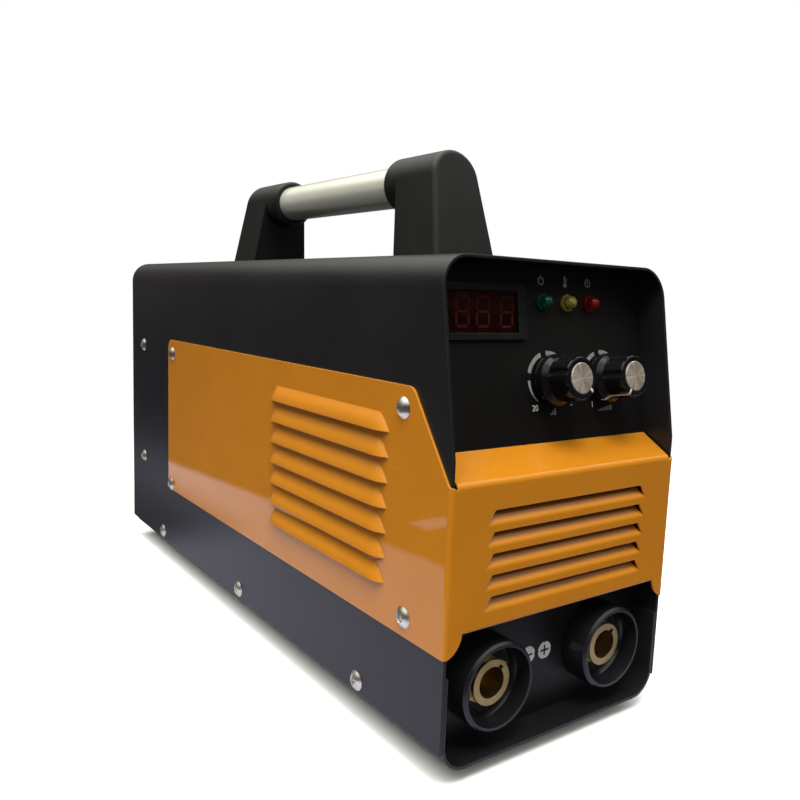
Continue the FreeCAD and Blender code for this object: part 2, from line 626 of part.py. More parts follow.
# ---- dials -------------------------------------------------------------------------------
def dial(i):
    """Fluted knob; its profile is turned about the shaft, with y running away from the user."""
    crown_back = 1.3
    body_back = 10.2
    knob = turned([(0, -DIAL_TALL), (DIAL_CROWN_R, -DIAL_TALL),
                   (DIAL_BODY_R - 0.3, -DIAL_TALL + 0.5),
                   (DIAL_BODY_R - 0.2, -DIAL_TALL + crown_back),
                   (DIAL_BODY_R, -DIAL_TALL + body_back),
                   (DIAL_SKIRT_R - 0.2, -DIAL_TALL + body_back + 2.1),
                   (DIAL_SKIRT_R, -DIAL_TALL + body_back + 2.5),
                   (DIAL_SKIRT_R, -DIAL_STAND - 0.4), (DIAL_SKIRT_R - 0.4, -DIAL_STAND),
                   (0, -DIAL_STAND)])
    cuts = []
    for k in range(DIAL_FLUTES):
        angle = math.radians(DIAL_REST[i] + 360 * (k + 0.5) / DIAL_FLUTES)
        reach = DIAL_BODY_R + 1.4
        cuts.append(rod("y", reach * math.sin(angle), reach * math.cos(angle), 2.3,
                        -DIAL_TALL - 1, -DIAL_TALL + body_back))
    cuts.append(rod("y", 0, 0, CAP_R + 0.1, -DIAL_TALL - 1, -DIAL_TALL + CAP_T - 0.3))
    cuts.append(rod("y", 0, 0, DIAL_BODY_R - 1.5, -DIAL_STAND - 3, 0))
    cuts.append(rod("y", 0, 0, SHAFT_R, -DIAL_TALL + 4, 0))
    knob = knob.cut(cuts)
    knob.translate(V(DIAL_X[i], 0, DIAL_UP))
    return on_panel(knob)


def dial_cap(i):
    low = -DIAL_TALL - 0.3
    cap = turned([(0, low), (CAP_R - 0.4, low), (CAP_R, low + 0.4), (CAP_R, low + CAP_T),
                  (0, low + CAP_T)])
    cap.translate(V(DIAL_X[i], 0, DIAL_UP))
    return on_panel(cap)


def pot_shaft(i):
    return on_panel(rod("y", DIAL_X[i], DIAL_UP, SHAFT_R, -DIAL_TALL + 4, PANEL_T + POT_DEEP - 3))


def pot(i):
    x = DIAL_X[i]
    body = union([rod("y", x, DIAL_UP, POT_R, PANEL_T, PANEL_T + POT_DEEP),
                  rod("y", x, DIAL_UP, BUSH_R, -DIAL_STAND - 2, PANEL_T + 1)])
    return on_panel(body.cut(rod("y", x, DIAL_UP, SHAFT_R + TURN_GAP, -10, PANEL_T + POT_DEEP - 3)))


def pot_nuts():
    nuts = []
    for x in DIAL_X:
        nut = hexagon("y", x, DIAL_UP, 11, -2, 0).cut(rod("y", x, DIAL_UP, BUSH_R, -2, 0))
        nuts.append(on_panel(nut))
    return nuts


# ---- lamps and display -------------------------------------------------------------------
def lamp(i):
    tip = -5.6
    body = turned([(0, tip), (1.3, tip + 0.3), (2.3, tip + 1.2), (LAMP_R, tip + 2.8),
                   (LAMP_R, -1.2), (LAMP_FLANGE_R, -1.2), (LAMP_FLANGE_R, 0), (LAMP_R, 0),
                   (LAMP_R, PANEL_T + 4), (0, PANEL_T + 4)])
    body.translate(V(LAMP_X[i], 0, LAMP_UP))
    return on_panel(body)


def display_bezel():
    frame = prism([(DISPLAY_X[0], DISPLAY_UP[0], 1.5), (DISPLAY_X[0], DISPLAY_UP[1], 1.5),
                   (DISPLAY_X[1], DISPLAY_UP[1], 1.5), (DISPLAY_X[1], DISPLAY_UP[0], 1.5)],
                  "y", -BEZEL_PROUD, 0)
    sleeve = block(WINDOW_X, (0, PANEL_T), WINDOW_UP)
    room = block((WINDOW_X[0] + 1, WINDOW_X[1] - 1), (-5, 10), (WINDOW_UP[0] + 1, WINDOW_UP[1] - 1))
    return on_panel(union([frame, sleeve]).cut(room))


def display_lens():
    return on_panel(block((WINDOW_X[0] + 1, WINDOW_X[1] - 1), (-BEZEL_PROUD + 0.6, 0.6),
                          (WINDOW_UP[0] + 1, WINDOW_UP[1] - 1)))


def digit_module():
    return on_panel(block((WINDOW_X[0] + 1.2, WINDOW_X[1] - 1.2), (0.6, PANEL_T + POT_DEEP),
                          (WINDOW_UP[0] + 1.2, WINDOW_UP[1] - 1.2)))


def control_board():
    board = block((-CONTROL_HALF, CONTROL_HALF),
                  (PANEL_T + POT_DEEP, PANEL_T + POT_DEEP + BOARD_T), CONTROL_UP)
    holes = [rod("y", x, z, SCREW_R, 0, 30) for x, z in standoff_places()]
    return on_panel(board.cut(holes))


def standoff_places():
    return [(sx * (CONTROL_HALF - 4), z) for sx in (-1, 1)
            for z in (CONTROL_UP[0] + 4, CONTROL_UP[1] - 4)]


def board_standoffs():
    posts = []
    for x, z in standoff_places():
        post = hexagon("y", x, z, 6, PANEL_T, PANEL_T + POT_DEEP)
        peg = rod("y", x, z, SCREW_R, PANEL_T + POT_DEEP - 0.5, PANEL_T + POT_DEEP + BOARD_T + 2)
        posts.append(on_panel(union([post, peg])))
    return posts


# ---- power parts on the main board -------------------------------------------------------


def board_post_places():
    """The front posts' pegs stand against the outer edges of the busbars' feet."""
    beside = SOCKET_X + BUSBAR_W / 2 + SCREW_R
    return [(sx * beside, y) for sx in (-1, 1)
            for y in (BOARD_Y[0] + BOARD_POST_END, BOARD_Y[1] - BOARD_POST_END)]


def main_board():
    board = block((-BOARD_HALF, BOARD_HALF), BOARD_Y, (BOARD_Z, BOARD_TOP))
    return board.cut([rod("z", x, y, SCREW_R, 0, 60) for x, y in board_post_places()])


def board_posts():
    posts = []
    for x, y in board_post_places():
        post = hexagon("z", x, y, 8, Z_FLOOR, BOARD_Z)
        peg = rod("z", x, y, SCREW_R, Z_BASE, BOARD_TOP + 2)
        posts.append(union([post, peg]))
    return posts


def heat_sink():
    """The right-hand finned extrusion, its flat back towards the middle of the case."""
    low, high = BOARD_TOP, BOARD_TOP + SINK_TALL
    back = block((SINK_X[0], SINK_X[0] + 5), SINK_Y, (low, high))
    step = (SINK_TALL - 2) / (SINK_FINS - 1)
    fins = [block((SINK_X[0] + 4, SINK_X[1]), SINK_Y, (low + i * step, low + i * step + 2))
            for i in range(SINK_FINS)]
    return union([back] + fins)


def transistors():
    """Flat power packages clamped to the backs of both heat sinks."""
    cases = []
    for i in range(4):
        y = SINK_Y[0] + (i + 0.5) * (SINK_Y[1] - SINK_Y[0]) / 4
        case = block((SINK_X[0] - 5, SINK_X[0]), (y - 8, y + 8), (BOARD_TOP + 12, BOARD_TOP + 33))
        legs = block((SINK_X[0] - 3, SINK_X[0] - 2), (y - 6, y + 6), (BOARD_TOP, BOARD_TOP + 12.5))
        cases += both_sides(union([case, legs]))
    return cases


def transformer_core():
    low = BOARD_TOP
    half = CORE_W / 2
    leg = half * 0.31
    whole = block((-half, half), CORE_Y, (low, low + CORE_TALL))
    rooms = block((leg, half - leg), (CORE_Y[0] - 1, CORE_Y[1] + 1), (low + leg, low + CORE_TALL - leg))
    return whole.cut(both_sides(rooms))


def transformer_winding():
    leg = CORE_W / 2 * 0.31
    low, high = BOARD_TOP + leg, BOARD_TOP + CORE_TALL - leg
    half = CORE_W / 2 - leg - 1
    y0, y1 = CORE_Y[0] - COIL_OVER, CORE_Y[1] + COIL_OVER
    coil = prism([(-half, y0, 9), (-half, y1, 9), (half, y1, 9), (half, y0, 9)], "z", low + 1, high - 1)
    return coil.cut(block((-leg, leg), CORE_Y, (low, high)))


def capacitors():
    return [rod("z", i * CAN_PITCH, CAN_Y, CAN_R, BOARD_TOP, BOARD_TOP + CAN_H) for i in (-1, 0, 1)]


def output_choke():
    """A wound ring standing on edge at the front of the board."""
    rise = BOARD_TOP + CHOKE_R + CHOKE_WIRE_R
    middle = V(0, BOARD_Y[0] + CHOKE_WIRE_R + 4, rise)
    return Part.makeTorus(CHOKE_R, CHOKE_WIRE_R, middle, V(0, 1, 0))


# ---- fan ---------------------------------------------------------------------------------
def fan_screw_places():
    half = FAN_PITCH / 2
    return [(sx * half, FAN_Z + sz * half) for sx in (-1, 1) for sz in (-1, 1)]


def fan_frame():
    half = FAN_SIZE / 2
    y0, y1 = REAR_IN - FAN_DEEP, REAR_IN
    square = [(-half, FAN_Z - half, 5), (-half, FAN_Z + half, 5), (half, FAN_Z + half, 5),
              (half, FAN_Z - half, 5)]
    frame = prism(square, "y", y0, y1).cut(rod("y", 0, FAN_Z, FAN_BORE_R, y0, y1))
    hub = rod("y", 0, FAN_Z, FAN_HUB_R, y0, y0 + FAN_STRUT)
    struts = []
    for angle in (45, 135, 225, 315):
        strut = block((FAN_HUB_R - 1, FAN_BORE_R + 1), (y0, y0 + FAN_STRUT), (-1.75, 1.75))
        strut.rotate(V(0, 0, 0), V(0, 1, 0), angle)
        strut.translate(V(0, 0, FAN_Z))
        struts.append(strut)
    frame = union([frame, hub] + struts)
    holes = [rod("y", x, z, SCREW_R, y0 - 1, y1 + 1) for x, z in fan_screw_places()]
    bearing = rod("y", 0, FAN_Z, AXLE_R + TURN_GAP, y0 + 1, y1)
    return frame.cut(holes + [bearing])


def fan_rotor():
    y0 = REAR_IN - FAN_DEEP + FAN_STRUT + 1
    y1 = REAR_IN - 2
    middle = (y0 + y1) / 2
    tip = FAN_BORE_R - FAN_TIP_GAP
    hub = rod("y", 0, 0, FAN_HUB_R - 1, y0, y1)
    axle = rod("y", 0, 0, AXLE_R, y0 - FAN_STRUT, y0 + 1)
    room = tube("y", 0, 0, tip, FAN_HUB_R - 2, y0, y1)
    blades = []
    for i in range(FAN_BLADES):
        blade = block((FAN_HUB_R - 3, tip + 5), (-0.8, 0.8), (-15, 15))
        blade.rotate(V(0, 0, 0), V(1, 0, 0), 52)
        blade.translate(V(0, middle, 0))
        blade.rotate(V(0, 0, 0), V(0, 1, 0), i * 360 / FAN_BLADES)
        blades.append(blade.common(room))
    rotor = union([hub, axle] + blades)
    rotor.translate(V(0, 0, FAN_Z))
    return rotor


def fan_grille():
    """Wire finger guard: rings on four spokes, each spoke ending in a screw eye."""
    y = REAR_Y + GRILLE_WIRE_R
    inner = 8.0
    step = (FAN_BORE_R - inner) / (GRILLE_RINGS - 1)
    middle = V(0, y + 1.4 * GRILLE_WIRE_R, FAN_Z)
    wires = [Part.makeTorus(inner + i * step, GRILLE_WIRE_R, middle, V(0, 1, 0))
             for i in range(GRILLE_RINGS)]
    for x, z in fan_screw_places():
        reach = math.hypot(x, z - FAN_Z)
        out = V(x / reach, 0, (z - FAN_Z) / reach)
        start = V(0, y, FAN_Z) + out * (inner - 2)
        wires.append(Part.makeCylinder(GRILLE_WIRE_R, reach - inner + 2 - SCREW_R - 1, start, out))
        wires.append(tube("y", x, z, SCREW_R + 2.2, SCREW_R + HOLE_GAP, REAR_Y,
                          REAR_Y + 2 * GRILLE_WIRE_R))
    return union(wires)


def fan_screws():
    screws = []
    seat = REAR_Y + 2 * GRILLE_WIRE_R
    for x, z in fan_screw_places():
        head = rod("y", x, z, HEAD_R - 0.7, seat, seat + HEAD_H)
        shank = rod("y", x, z, SCREW_R, REAR_IN - 14, seat)
        slot = block((x - 2, x + 2), (seat + HEAD_H - 1, seat + HEAD_H + 1), (z - 0.4, z + 0.4))
        screws.append(union([head, shank]).cut(slot))
    return screws


# ---- power switch, cable gland, earth stud -----------------------------------------------
ROCKER_R = 13.0
ROCKER_SINK = 2.0
SWITCH_RIM = 2.0


def switch_body():
    half_w, half_h = SWITCH_W / 2, SWITCH_TALL / 2
    rim = prism([(SWITCH_X - half_w, SWITCH_Z - half_h, 2), (SWITCH_X - half_w, SWITCH_Z + half_h, 2),
                 (SWITCH_X + half_w, SWITCH_Z + half_h, 2), (SWITCH_X + half_w, SWITCH_Z - half_h, 2)],
                "y", REAR_Y, REAR_Y + SWITCH_RIM)
    body = block((SWITCH_X - half_w + 2, SWITCH_X + half_w - 2), (REAR_IN - SWITCH_DEEP, REAR_Y),
                 (SWITCH_Z - half_h + 2, SWITCH_Z + half_h - 2))
    inner_w = half_w - 3.5
    room = block((SWITCH_X - inner_w, SWITCH_X + inner_w), (REAR_Y - 13.5, REAR_Y + 5),
                 (SWITCH_Z - ROCKER_R - 0.3, SWITCH_Z + ROCKER_R + 0.3))
    axle_y = REAR_Y + SWITCH_RIM - ROCKER_SINK
    pin = rod("x", axle_y, SWITCH_Z, 1.5 + TURN_GAP, SWITCH_X - inner_w - 1.2, SWITCH_X + inner_w + 1.2)
    tabs = [block((SWITCH_X + s * 5 - 0.4, SWITCH_X + s * 5 + 0.4),
                  (REAR_IN - SWITCH_DEEP - 8, REAR_IN - SWITCH_DEEP + 1), (z - 3, z + 3))
            for s in (-1, 1) for z in (SWITCH_Z - 8, SWITCH_Z + 8)]
    return union([rim.fuse(body).cut([room, pin])] + tabs)


def switch_rocker():
    """Rocker pressed at its lower end, which is the off position."""
    inner_w = SWITCH_W / 2 - 3.5 - 0.25
    axle_y = REAR_Y + SWITCH_RIM - ROCKER_SINK
    wedge = prism([(5.2, -12, 0), (2.8, 0, 0), (5.2, 12, 0), (-2, 12.5, 0), (-9, 4, 2),
                   (-9, -4, 2), (-2, -12.5, 0)], "x", -inner_w, inner_w)
    wedge = wedge.common(rod("x", 0, 0, ROCKER_R, -inner_w, inner_w))
    rocker = union([wedge, rod("x", 0, 0, 1.5, -inner_w - 1, inner_w + 1)])
    rocker.rotate(V(0, 0, 0), V(1, 0, 0), -ROCKER_TILT)
    rocker.translate(V(SWITCH_X, axle_y, SWITCH_Z))
    return rocker


GLAND_FLANGE = 5.0
GLAND_DOME = 14.0
SEAL_R = 7.5


def gland_body():
    y1 = REAR_Y + GLAND_FLANGE
    body = union([hexagon("y", GLAND_X, SWITCH_Z, GLAND_AF, REAR_Y, y1),
                  rod("y", GLAND_X, SWITCH_Z, GLAND_NECK_R, REAR_IN - 9, y1),
                  rod("y", GLAND_X, SWITCH_Z, SEAL_R + 1.3, y1 - 1, y1 + 7)])
    return body.cut([rod("y", GLAND_X, SWITCH_Z, SEAL_R - 0.6, REAR_IN - 10, y1 + 8),
                     rod("y", GLAND_X, SWITCH_Z, SEAL_R, y1 - 2, y1 + 8)])


def gland_seal():
    y0 = REAR_Y + GLAND_FLANGE - 2
    return tube("y", GLAND_X, SWITCH_Z, SEAL_R, CABLE_R, y0, y0 + 9)


def gland_nut():
    y0 = REAR_Y + GLAND_FLANGE
    r = GLAND_AF / 2
    mouth = SEAL_R - 0.9
    dome = turned([(0, y0), (r, y0), (r, y0 + 7), (r - 1.2, y0 + 10), (r - 3.5, y0 + 12.5),
                   (mouth + 0.6, y0 + GLAND_DOME), (0, y0 + GLAND_DOME)])
    dome.translate(V(GLAND_X, 0, SWITCH_Z))
    flats = hexagon("y", GLAND_X, SWITCH_Z, GLAND_AF - 1.4, y0, y0 + GLAND_DOME)
    hole = rod("y", GLAND_X, SWITCH_Z, mouth, y0 - 1, y0 + GLAND_DOME + 1)
    room = rod("y", GLAND_X, SWITCH_Z, SEAL_R + 1.3, y0 - 1, y0 + 7)
    return dome.common(flats).cut([hole, room])


def gland_locknut():
    nut = hexagon("y", GLAND_X, SWITCH_Z, GLAND_AF, REAR_IN - 5, REAR_IN)
    return nut.cut(rod("y", GLAND_X, SWITCH_Z, GLAND_NECK_R, REAR_IN - 6, REAR_IN + 1))


def earth_stud():
    """Its free end is a little thinner, so that an earth lead's eye slips over it."""
    step = REAR_Y + EARTH_NUT_END + 0.5
    return union([hexagon("y", EARTH_X, EARTH_Z, 10, REAR_IN - 4, REAR_IN),
                  rod("y", EARTH_X, EARTH_Z, EARTH_R, REAR_IN - 1, step),
                  rod("y", EARTH_X, EARTH_Z, EARTH_END_R, step - 1, REAR_IN + EARTH_L)])


def earth_nut():
    nut = union([hexagon("y", EARTH_X, EARTH_Z, 10, REAR_Y + 1.2, REAR_Y + EARTH_NUT_END),
                 rod("y", EARTH_X, EARTH_Z, 6.2, REAR_Y, REAR_Y + 1.2)])
    return nut.cut(rod("y", EARTH_X, EARTH_Z, EARTH_R, REAR_Y - 1, REAR_Y + 7))


# ---- feet and the screws of the case -----------------------------------------------------
def rubber_feet():
    feet = []
    for x, y in foot_places():
        foot = Part.makeCone(FOOT_R - 1, FOOT_R, FOOT_H, V(x, y, 0))
        foot = foot.cut([rod("z", x, y, HEAD_R + 0.5, -1, FOOT_H - 3.2),
                         rod("z", x, y, SCREW_R, 0, FOOT_H + 1)])
        feet.append(foot)
    return feet


def foot_screws():
    return [upright_screw(x, y, FOOT_H - 3.2, 1) for x, y in foot_places()]


def panel_screws():
    return [upright_screw(x, y, Z_BASE, 1) for x, y in panel_screw_places()]


def guard_screws():
    return [s for y, z in guard_screw_places() for s in both_sides(side_screw(y, z, GUARD_X))]


def cover_screws():
    places = low_screw_places() + rear_screw_places()
    return [s for y, z in places for s in both_sides(side_screw(y, z, HALF))]


PARTS = {
    "cover": cover, "base_tray": base_tray, "front_panel": front_panel,
    "rear_panel": rear_panel, "front_guard": front_guard,
    "handle_post_front": handle_post,
    "handle_post_rear": lambda: handle_post().mirror(V(0, 0, 0), V(0, 1, 0)),
    "handle_tube": handle_tube, "handle_bolts": handle_bolts,
    "socket_housing_minus": lambda: socket_housing(-SOCKET_X),
    "socket_housing_plus": lambda: socket_housing(SOCKET_X),
    "socket_insert_minus": lambda: socket_insert(-SOCKET_X),
    "socket_insert_plus": lambda: socket_insert(SOCKET_X),
    "socket_rings": socket_rings, "socket_nuts": socket_nuts,
    "busbar_minus": lambda: busbar(-1), "busbar_plus": lambda: busbar(1),
    "current_knob": lambda: dial(0), "current_knob_cap": lambda: dial_cap(0),
    "current_pot_shaft": lambda: pot_shaft(0), "current_pot": lambda: pot(0),
    "force_knob": lambda: dial(1), "force_knob_cap": lambda: dial_cap(1),
    "force_pot_shaft": lambda: pot_shaft(1), "force_pot": lambda: pot(1),
    "pot_nuts": pot_nuts,
    "power_lamp": lambda: lamp(0), "heat_lamp": lambda: lamp(1), "fault_lamp": lambda: lamp(2),
    "display_bezel": display_bezel, "display_lens": display_lens, "digit_module": digit_module,
    "control_board": control_board, "board_standoffs": board_standoffs,
    "main_board": main_board, "board_posts": board_posts,
    "heat_sink_left": lambda: both_sides(heat_sink())[1], "heat_sink_right": heat_sink,
    "power_transistors": transistors, "transformer_core": transformer_core,
    "transformer_winding": transformer_winding, "bulk_capacitors": capacitors,
    "output_choke": output_choke,
    "fan_frame": fan_frame, "fan_rotor": fan_rotor, "fan_grille": fan_grille,
    "fan_screws": fan_screws, "power_switch_body": switch_body,
    "power_switch_rocker": switch_rocker, "gland_body": gland_body, "gland_seal": gland_seal,
    "gland_nut": gland_nut, "gland_locknut": gland_locknut,
    "earth_stud": earth_stud, "earth_nut": earth_nut,
    "rubber_feet": rubber_feet, "foot_screws": foot_screws, "panel_screws": panel_screws,
    "guard_screws": guard_screws, "cover_screws": cover_screws,
}

for name, make in PARTS.items():
    save(name, make())
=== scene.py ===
"""Stick welding inverter: black sheet-metal case, orange wrap-round guard, black and chrome handle."""
import math
import bmesh
import bpy
from mathutils import Matrix, Vector
from mathutils.geometry import tessellate_polygon


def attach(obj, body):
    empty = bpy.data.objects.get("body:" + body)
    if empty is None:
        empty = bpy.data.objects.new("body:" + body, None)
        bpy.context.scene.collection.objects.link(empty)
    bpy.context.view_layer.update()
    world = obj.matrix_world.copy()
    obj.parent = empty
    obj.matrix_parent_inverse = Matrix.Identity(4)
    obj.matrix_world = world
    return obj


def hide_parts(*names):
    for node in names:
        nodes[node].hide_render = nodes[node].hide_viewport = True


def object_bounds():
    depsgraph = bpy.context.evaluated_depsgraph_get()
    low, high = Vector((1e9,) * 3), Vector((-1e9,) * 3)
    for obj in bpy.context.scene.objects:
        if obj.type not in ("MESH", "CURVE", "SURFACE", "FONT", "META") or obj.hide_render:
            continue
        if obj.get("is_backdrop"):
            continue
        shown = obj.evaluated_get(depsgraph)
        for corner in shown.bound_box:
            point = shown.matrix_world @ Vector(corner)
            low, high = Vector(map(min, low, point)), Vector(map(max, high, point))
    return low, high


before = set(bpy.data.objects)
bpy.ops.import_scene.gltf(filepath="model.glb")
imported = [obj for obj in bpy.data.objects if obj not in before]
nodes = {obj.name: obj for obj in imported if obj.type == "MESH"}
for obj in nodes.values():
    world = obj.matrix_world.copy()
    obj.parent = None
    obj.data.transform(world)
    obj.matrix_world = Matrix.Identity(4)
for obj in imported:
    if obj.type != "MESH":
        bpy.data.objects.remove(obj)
cad_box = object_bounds()


# ---- Camera, floor and light ---------------------------------------------------------------
# The inverter stands on a plain pale floor, seen from its front left, a little below the height
# of its top. A broad soft light hangs overhead, and the far end of the studio is dim. The camera
# sees the floor plain white. In reflections its tone is painted: pale near the case and dark away
# from it, with a painted dark patch behind on the left and a painted pale patch on the left.
def add(tree, kind, options=None, inputs=None):
    """A new node: options are its own settings, inputs its values or the sockets that feed it."""
    node = tree.nodes.new(kind)
    for name, value in (options or {}).items():
        setattr(node, name, value)
    for key, value in (inputs or {}).items():
        if isinstance(value, bpy.types.NodeSocket):
            tree.links.new(value, node.inputs[key])
        else:
            node.inputs[key].default_value = value
    return node


def blend_colours(tree, share, first, second):
    mix = add(tree, "ShaderNodeMix", {"data_type": "RGBA"}, {0: share, 6: first, 7: second})
    return mix.outputs[2]


def math_node(tree, operation, *values):
    settings = {"operation": operation, "use_clamp": False}
    return add(tree, "ShaderNodeMath", settings, dict(enumerate(values))).outputs[0]


def ramp(tree, value, low, high, low_out=0.0, high_out=1.0):
    """Value rises smoothly from low_out to high_out as it passes from low to high."""
    inputs = {"Value": value, "From Min": low, "From Max": high, "To Min": low_out, "To Max": high_out}
    settings = {"interpolation_type": "SMOOTHSTEP"}
    return add(tree, "ShaderNodeMapRange", settings, inputs).outputs["Result"]


view = bpy.data.cameras.new("view")
view.sensor_width = 36.0
view.lens = 35.2
view.clip_start = 0.01
camera = bpy.data.objects.new("camera", view)
camera_yaw, camera_pitch, camera_roll = 0.625, -0.132, 0.038
look = Vector((math.sin(camera_yaw) * math.cos(camera_pitch),
               math.cos(camera_yaw) * math.cos(camera_pitch), math.sin(camera_pitch)))
level_right = Vector((math.cos(camera_yaw), -math.sin(camera_yaw), 0))
level_up = level_right.cross(look)
right = level_right * math.cos(camera_roll) + level_up * math.sin(camera_roll)
up = level_up * math.cos(camera_roll) - level_right * math.sin(camera_roll)
camera_place = Vector((-0.2443, -0.4030, 0.1892))
camera.matrix_world = Matrix((
    (right.x, up.x, -look.x, camera_place.x), (right.y, up.y, -look.y, camera_place.y),
    (right.z, up.z, -look.z, camera_place.z), (0, 0, 0, 1)))
bpy.context.scene.collection.objects.link(camera)
bpy.context.scene.camera = camera
bpy.context.scene.view_settings.view_transform = "Standard"

studio = bpy.data.worlds.new("studio")
studio.use_nodes = True
studio.node_tree.nodes.clear()
bpy.context.scene.world = studio
sky = studio.node_tree
facing = add(sky, "ShaderNodeSeparateXYZ", None, {0: add(sky, "ShaderNodeTexCoord").outputs["Generated"]})
around = ramp(sky, facing.outputs["Y"], -0.3, 0.5, 0.02, 0.12)
overhead = math_node(sky, "ADD", around, ramp(sky, facing.outputs["Z"], 0.3, 0.8, 0.0, 1.5))
tint = blend_colours(sky, ramp(sky, facing.outputs["Z"], 0.2, 0.6), (1.0, 0.90, 0.80, 1),
                     (0.98, 1.0, 0.92, 1))
seen = add(sky, "ShaderNodeLightPath").outputs["Is Camera Ray"]
shade = add(sky, "ShaderNodeBackground", None, {"Color": tint, "Strength": overhead})
backdrop = add(sky, "ShaderNodeBackground", None, {"Color": (1, 1, 1, 1), "Strength": 1.0})
either = add(sky, "ShaderNodeMixShader", None, {0: seen, 1: shade.outputs[0], 2: backdrop.outputs[0]})
add(sky, "ShaderNodeOutputWorld", None, {"Surface": either.outputs[0]})

floor_mesh = bpy.data.meshes.new("floor")
floor_mesh.from_pydata([(-6, -6, -0.0004), (6, -6, -0.0004), (6, 6, -0.0004), (-6, 6, -0.0004)], [],
                       [(0, 1, 2, 3)])
floor = bpy.data.objects.new("floor", floor_mesh)
bpy.context.scene.collection.objects.link(floor)
floor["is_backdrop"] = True
floor_paint = bpy.data.materials.new("pale_floor")
floor_paint.use_nodes = True
tree = floor_paint.node_tree
tree.nodes.clear()
place = add(tree, "ShaderNodeTexCoord").outputs["Object"]
away = add(tree, "ShaderNodeVectorMath", {"operation": "LENGTH"}, {0: place}).outputs["Value"]
spot = add(tree, "ShaderNodeSeparateXYZ", None, {0: place})
# Painted reflection: for all but camera rays the floor is pale only in a band round the case and dark
# beyond it.
strip = math_node(tree, "MULTIPLY_ADD", spot.outputs["Y"], -0.13, spot.outputs["X"])
painted_reflection_mask = math_node(tree, "MULTIPLY", ramp(tree, strip, -0.240, -0.224),
                 ramp(tree, spot.outputs["Y"], -0.30, -0.18))
# Painted shade: the floor seen in reflections turns dark behind the case on its left.
corner = math_node(tree, "MULTIPLY", ramp(tree, spot.outputs["X"], -0.17, -0.12),
                   ramp(tree, spot.outputs["Y"], 0.12, 0.20, 0.0, -0.9))
painted_reflection_mask = math_node(tree, "MULTIPLY_ADD", painted_reflection_mask, corner, painted_reflection_mask)
# Painted reflection: a pale patch on the floor at the left, seen only in reflections, lays a pale
# reflection on the guard's lower left.
sheet = math_node(tree, "MULTIPLY", ramp(tree, spot.outputs["X"], -0.315, -0.305),
                  ramp(tree, spot.outputs["X"], -0.278, -0.268, 1.0, 0.0))
sheet = math_node(tree, "MULTIPLY", sheet, ramp(tree, spot.outputs["Y"], 0.082, 0.090))
sheet = math_node(tree, "MULTIPLY", sheet, ramp(tree, spot.outputs["Y"], 0.106, 0.116, 1.0, 0.0))
painted_reflection_mask = math_node(tree, "ADD", painted_reflection_mask, sheet)
seen = add(tree, "ShaderNodeLightPath").outputs["Is Camera Ray"]
# Camera rays see the floor white. All other rays see the painted tone, a little bluer.
tone = math_node(tree, "MAXIMUM", seen, math_node(tree, "MULTIPLY_ADD", painted_reflection_mask, 0.40, 0.03))
cool = math_node(tree, "MULTIPLY", tone, math_node(tree, "MULTIPLY_ADD", seen, -0.3, 1.3))
grey = add(tree, "ShaderNodeCombineXYZ", None, {0: tone, 1: tone, 2: cool}).outputs[0]
matt = add(tree, "ShaderNodeBsdfDiffuse", None, {"Color": grey})
glow = add(tree, "ShaderNodeEmission", None, {"Color": (1, 1, 1, 1), "Strength": 1.0})
far = math_node(tree, "MULTIPLY", seen, ramp(tree, away, 0.30, 0.75))
mixed = add(tree, "ShaderNodeMixShader", None, {0: far, 1: matt.outputs[0], 2: glow.outputs[0]})
add(tree, "ShaderNodeOutputMaterial", None, {"Surface": mixed.outputs[0]})
floor_mesh.materials.append(floor_paint)


def lamp_panel(name, place, target, size, watts, colour, glints=True):
    """A rectangular softbox that faces target; without glints, gloss doesn't mirror it."""
    light = bpy.data.lights.new(name, "AREA")
    light.shape = "RECTANGLE"
    light.size, light.size_y = size
    light.energy = watts
    light.color = colour
    holder = bpy.data.objects.new(name, light)
    holder.location = place
    holder.rotation_euler = (Vector(target) - Vector(place)).to_track_quat("-Z", "Y").to_euler()
    holder.visible_glossy = glints
    bpy.context.scene.collection.objects.link(holder)


lamp_panel("ceiling_light", (-0.25, 0.1, 1.5), (0, 0, 0.1), (1.3, 1.3), 11.0, (1.0, 0.98, 0.95))
lamp_panel("front_light", (-0.35, -0.75, 1.5), (0, -0.1, 0.12), (0.5, 0.5), 15.0, (1.0, 0.98, 0.95), False)
lamp_panel("side_light", (-1.15, -0.45, 1.65), (0, 0, 0.12), (0.7, 0.7), 11.0, (1.0, 0.97, 0.93), False)
lamp_panel("fill_light", (-0.55, -1.6, 0.40), (0, -0.1, 0.12), (0.9, 0.6), 4.0, (1.0, 0.97, 0.93), False)


# ---- Base tray -----------------------------------------------------------------------------
# The lower half of the case: one steel sheet folded up at both sides, with rounded long edges.
# It is powder coated in satin black and takes the feet, the panels and the boards' posts.
def group(name, inputs, outputs):
    """An empty shader node group, with its own input and output nodes."""
    tree = bpy.data.node_groups.new(name, "ShaderNodeTree")
    for label, kind, value in inputs:
        socket = tree.interface.new_socket(label, in_out="INPUT", socket_type=kind)
        socket.default_value = value
    for label, kind in outputs:
        tree.interface.new_socket(label, in_out="OUTPUT", socket_type=kind)
    return tree, add(tree, "NodeGroupInput").outputs, add(tree, "NodeGroupOutput").inputs


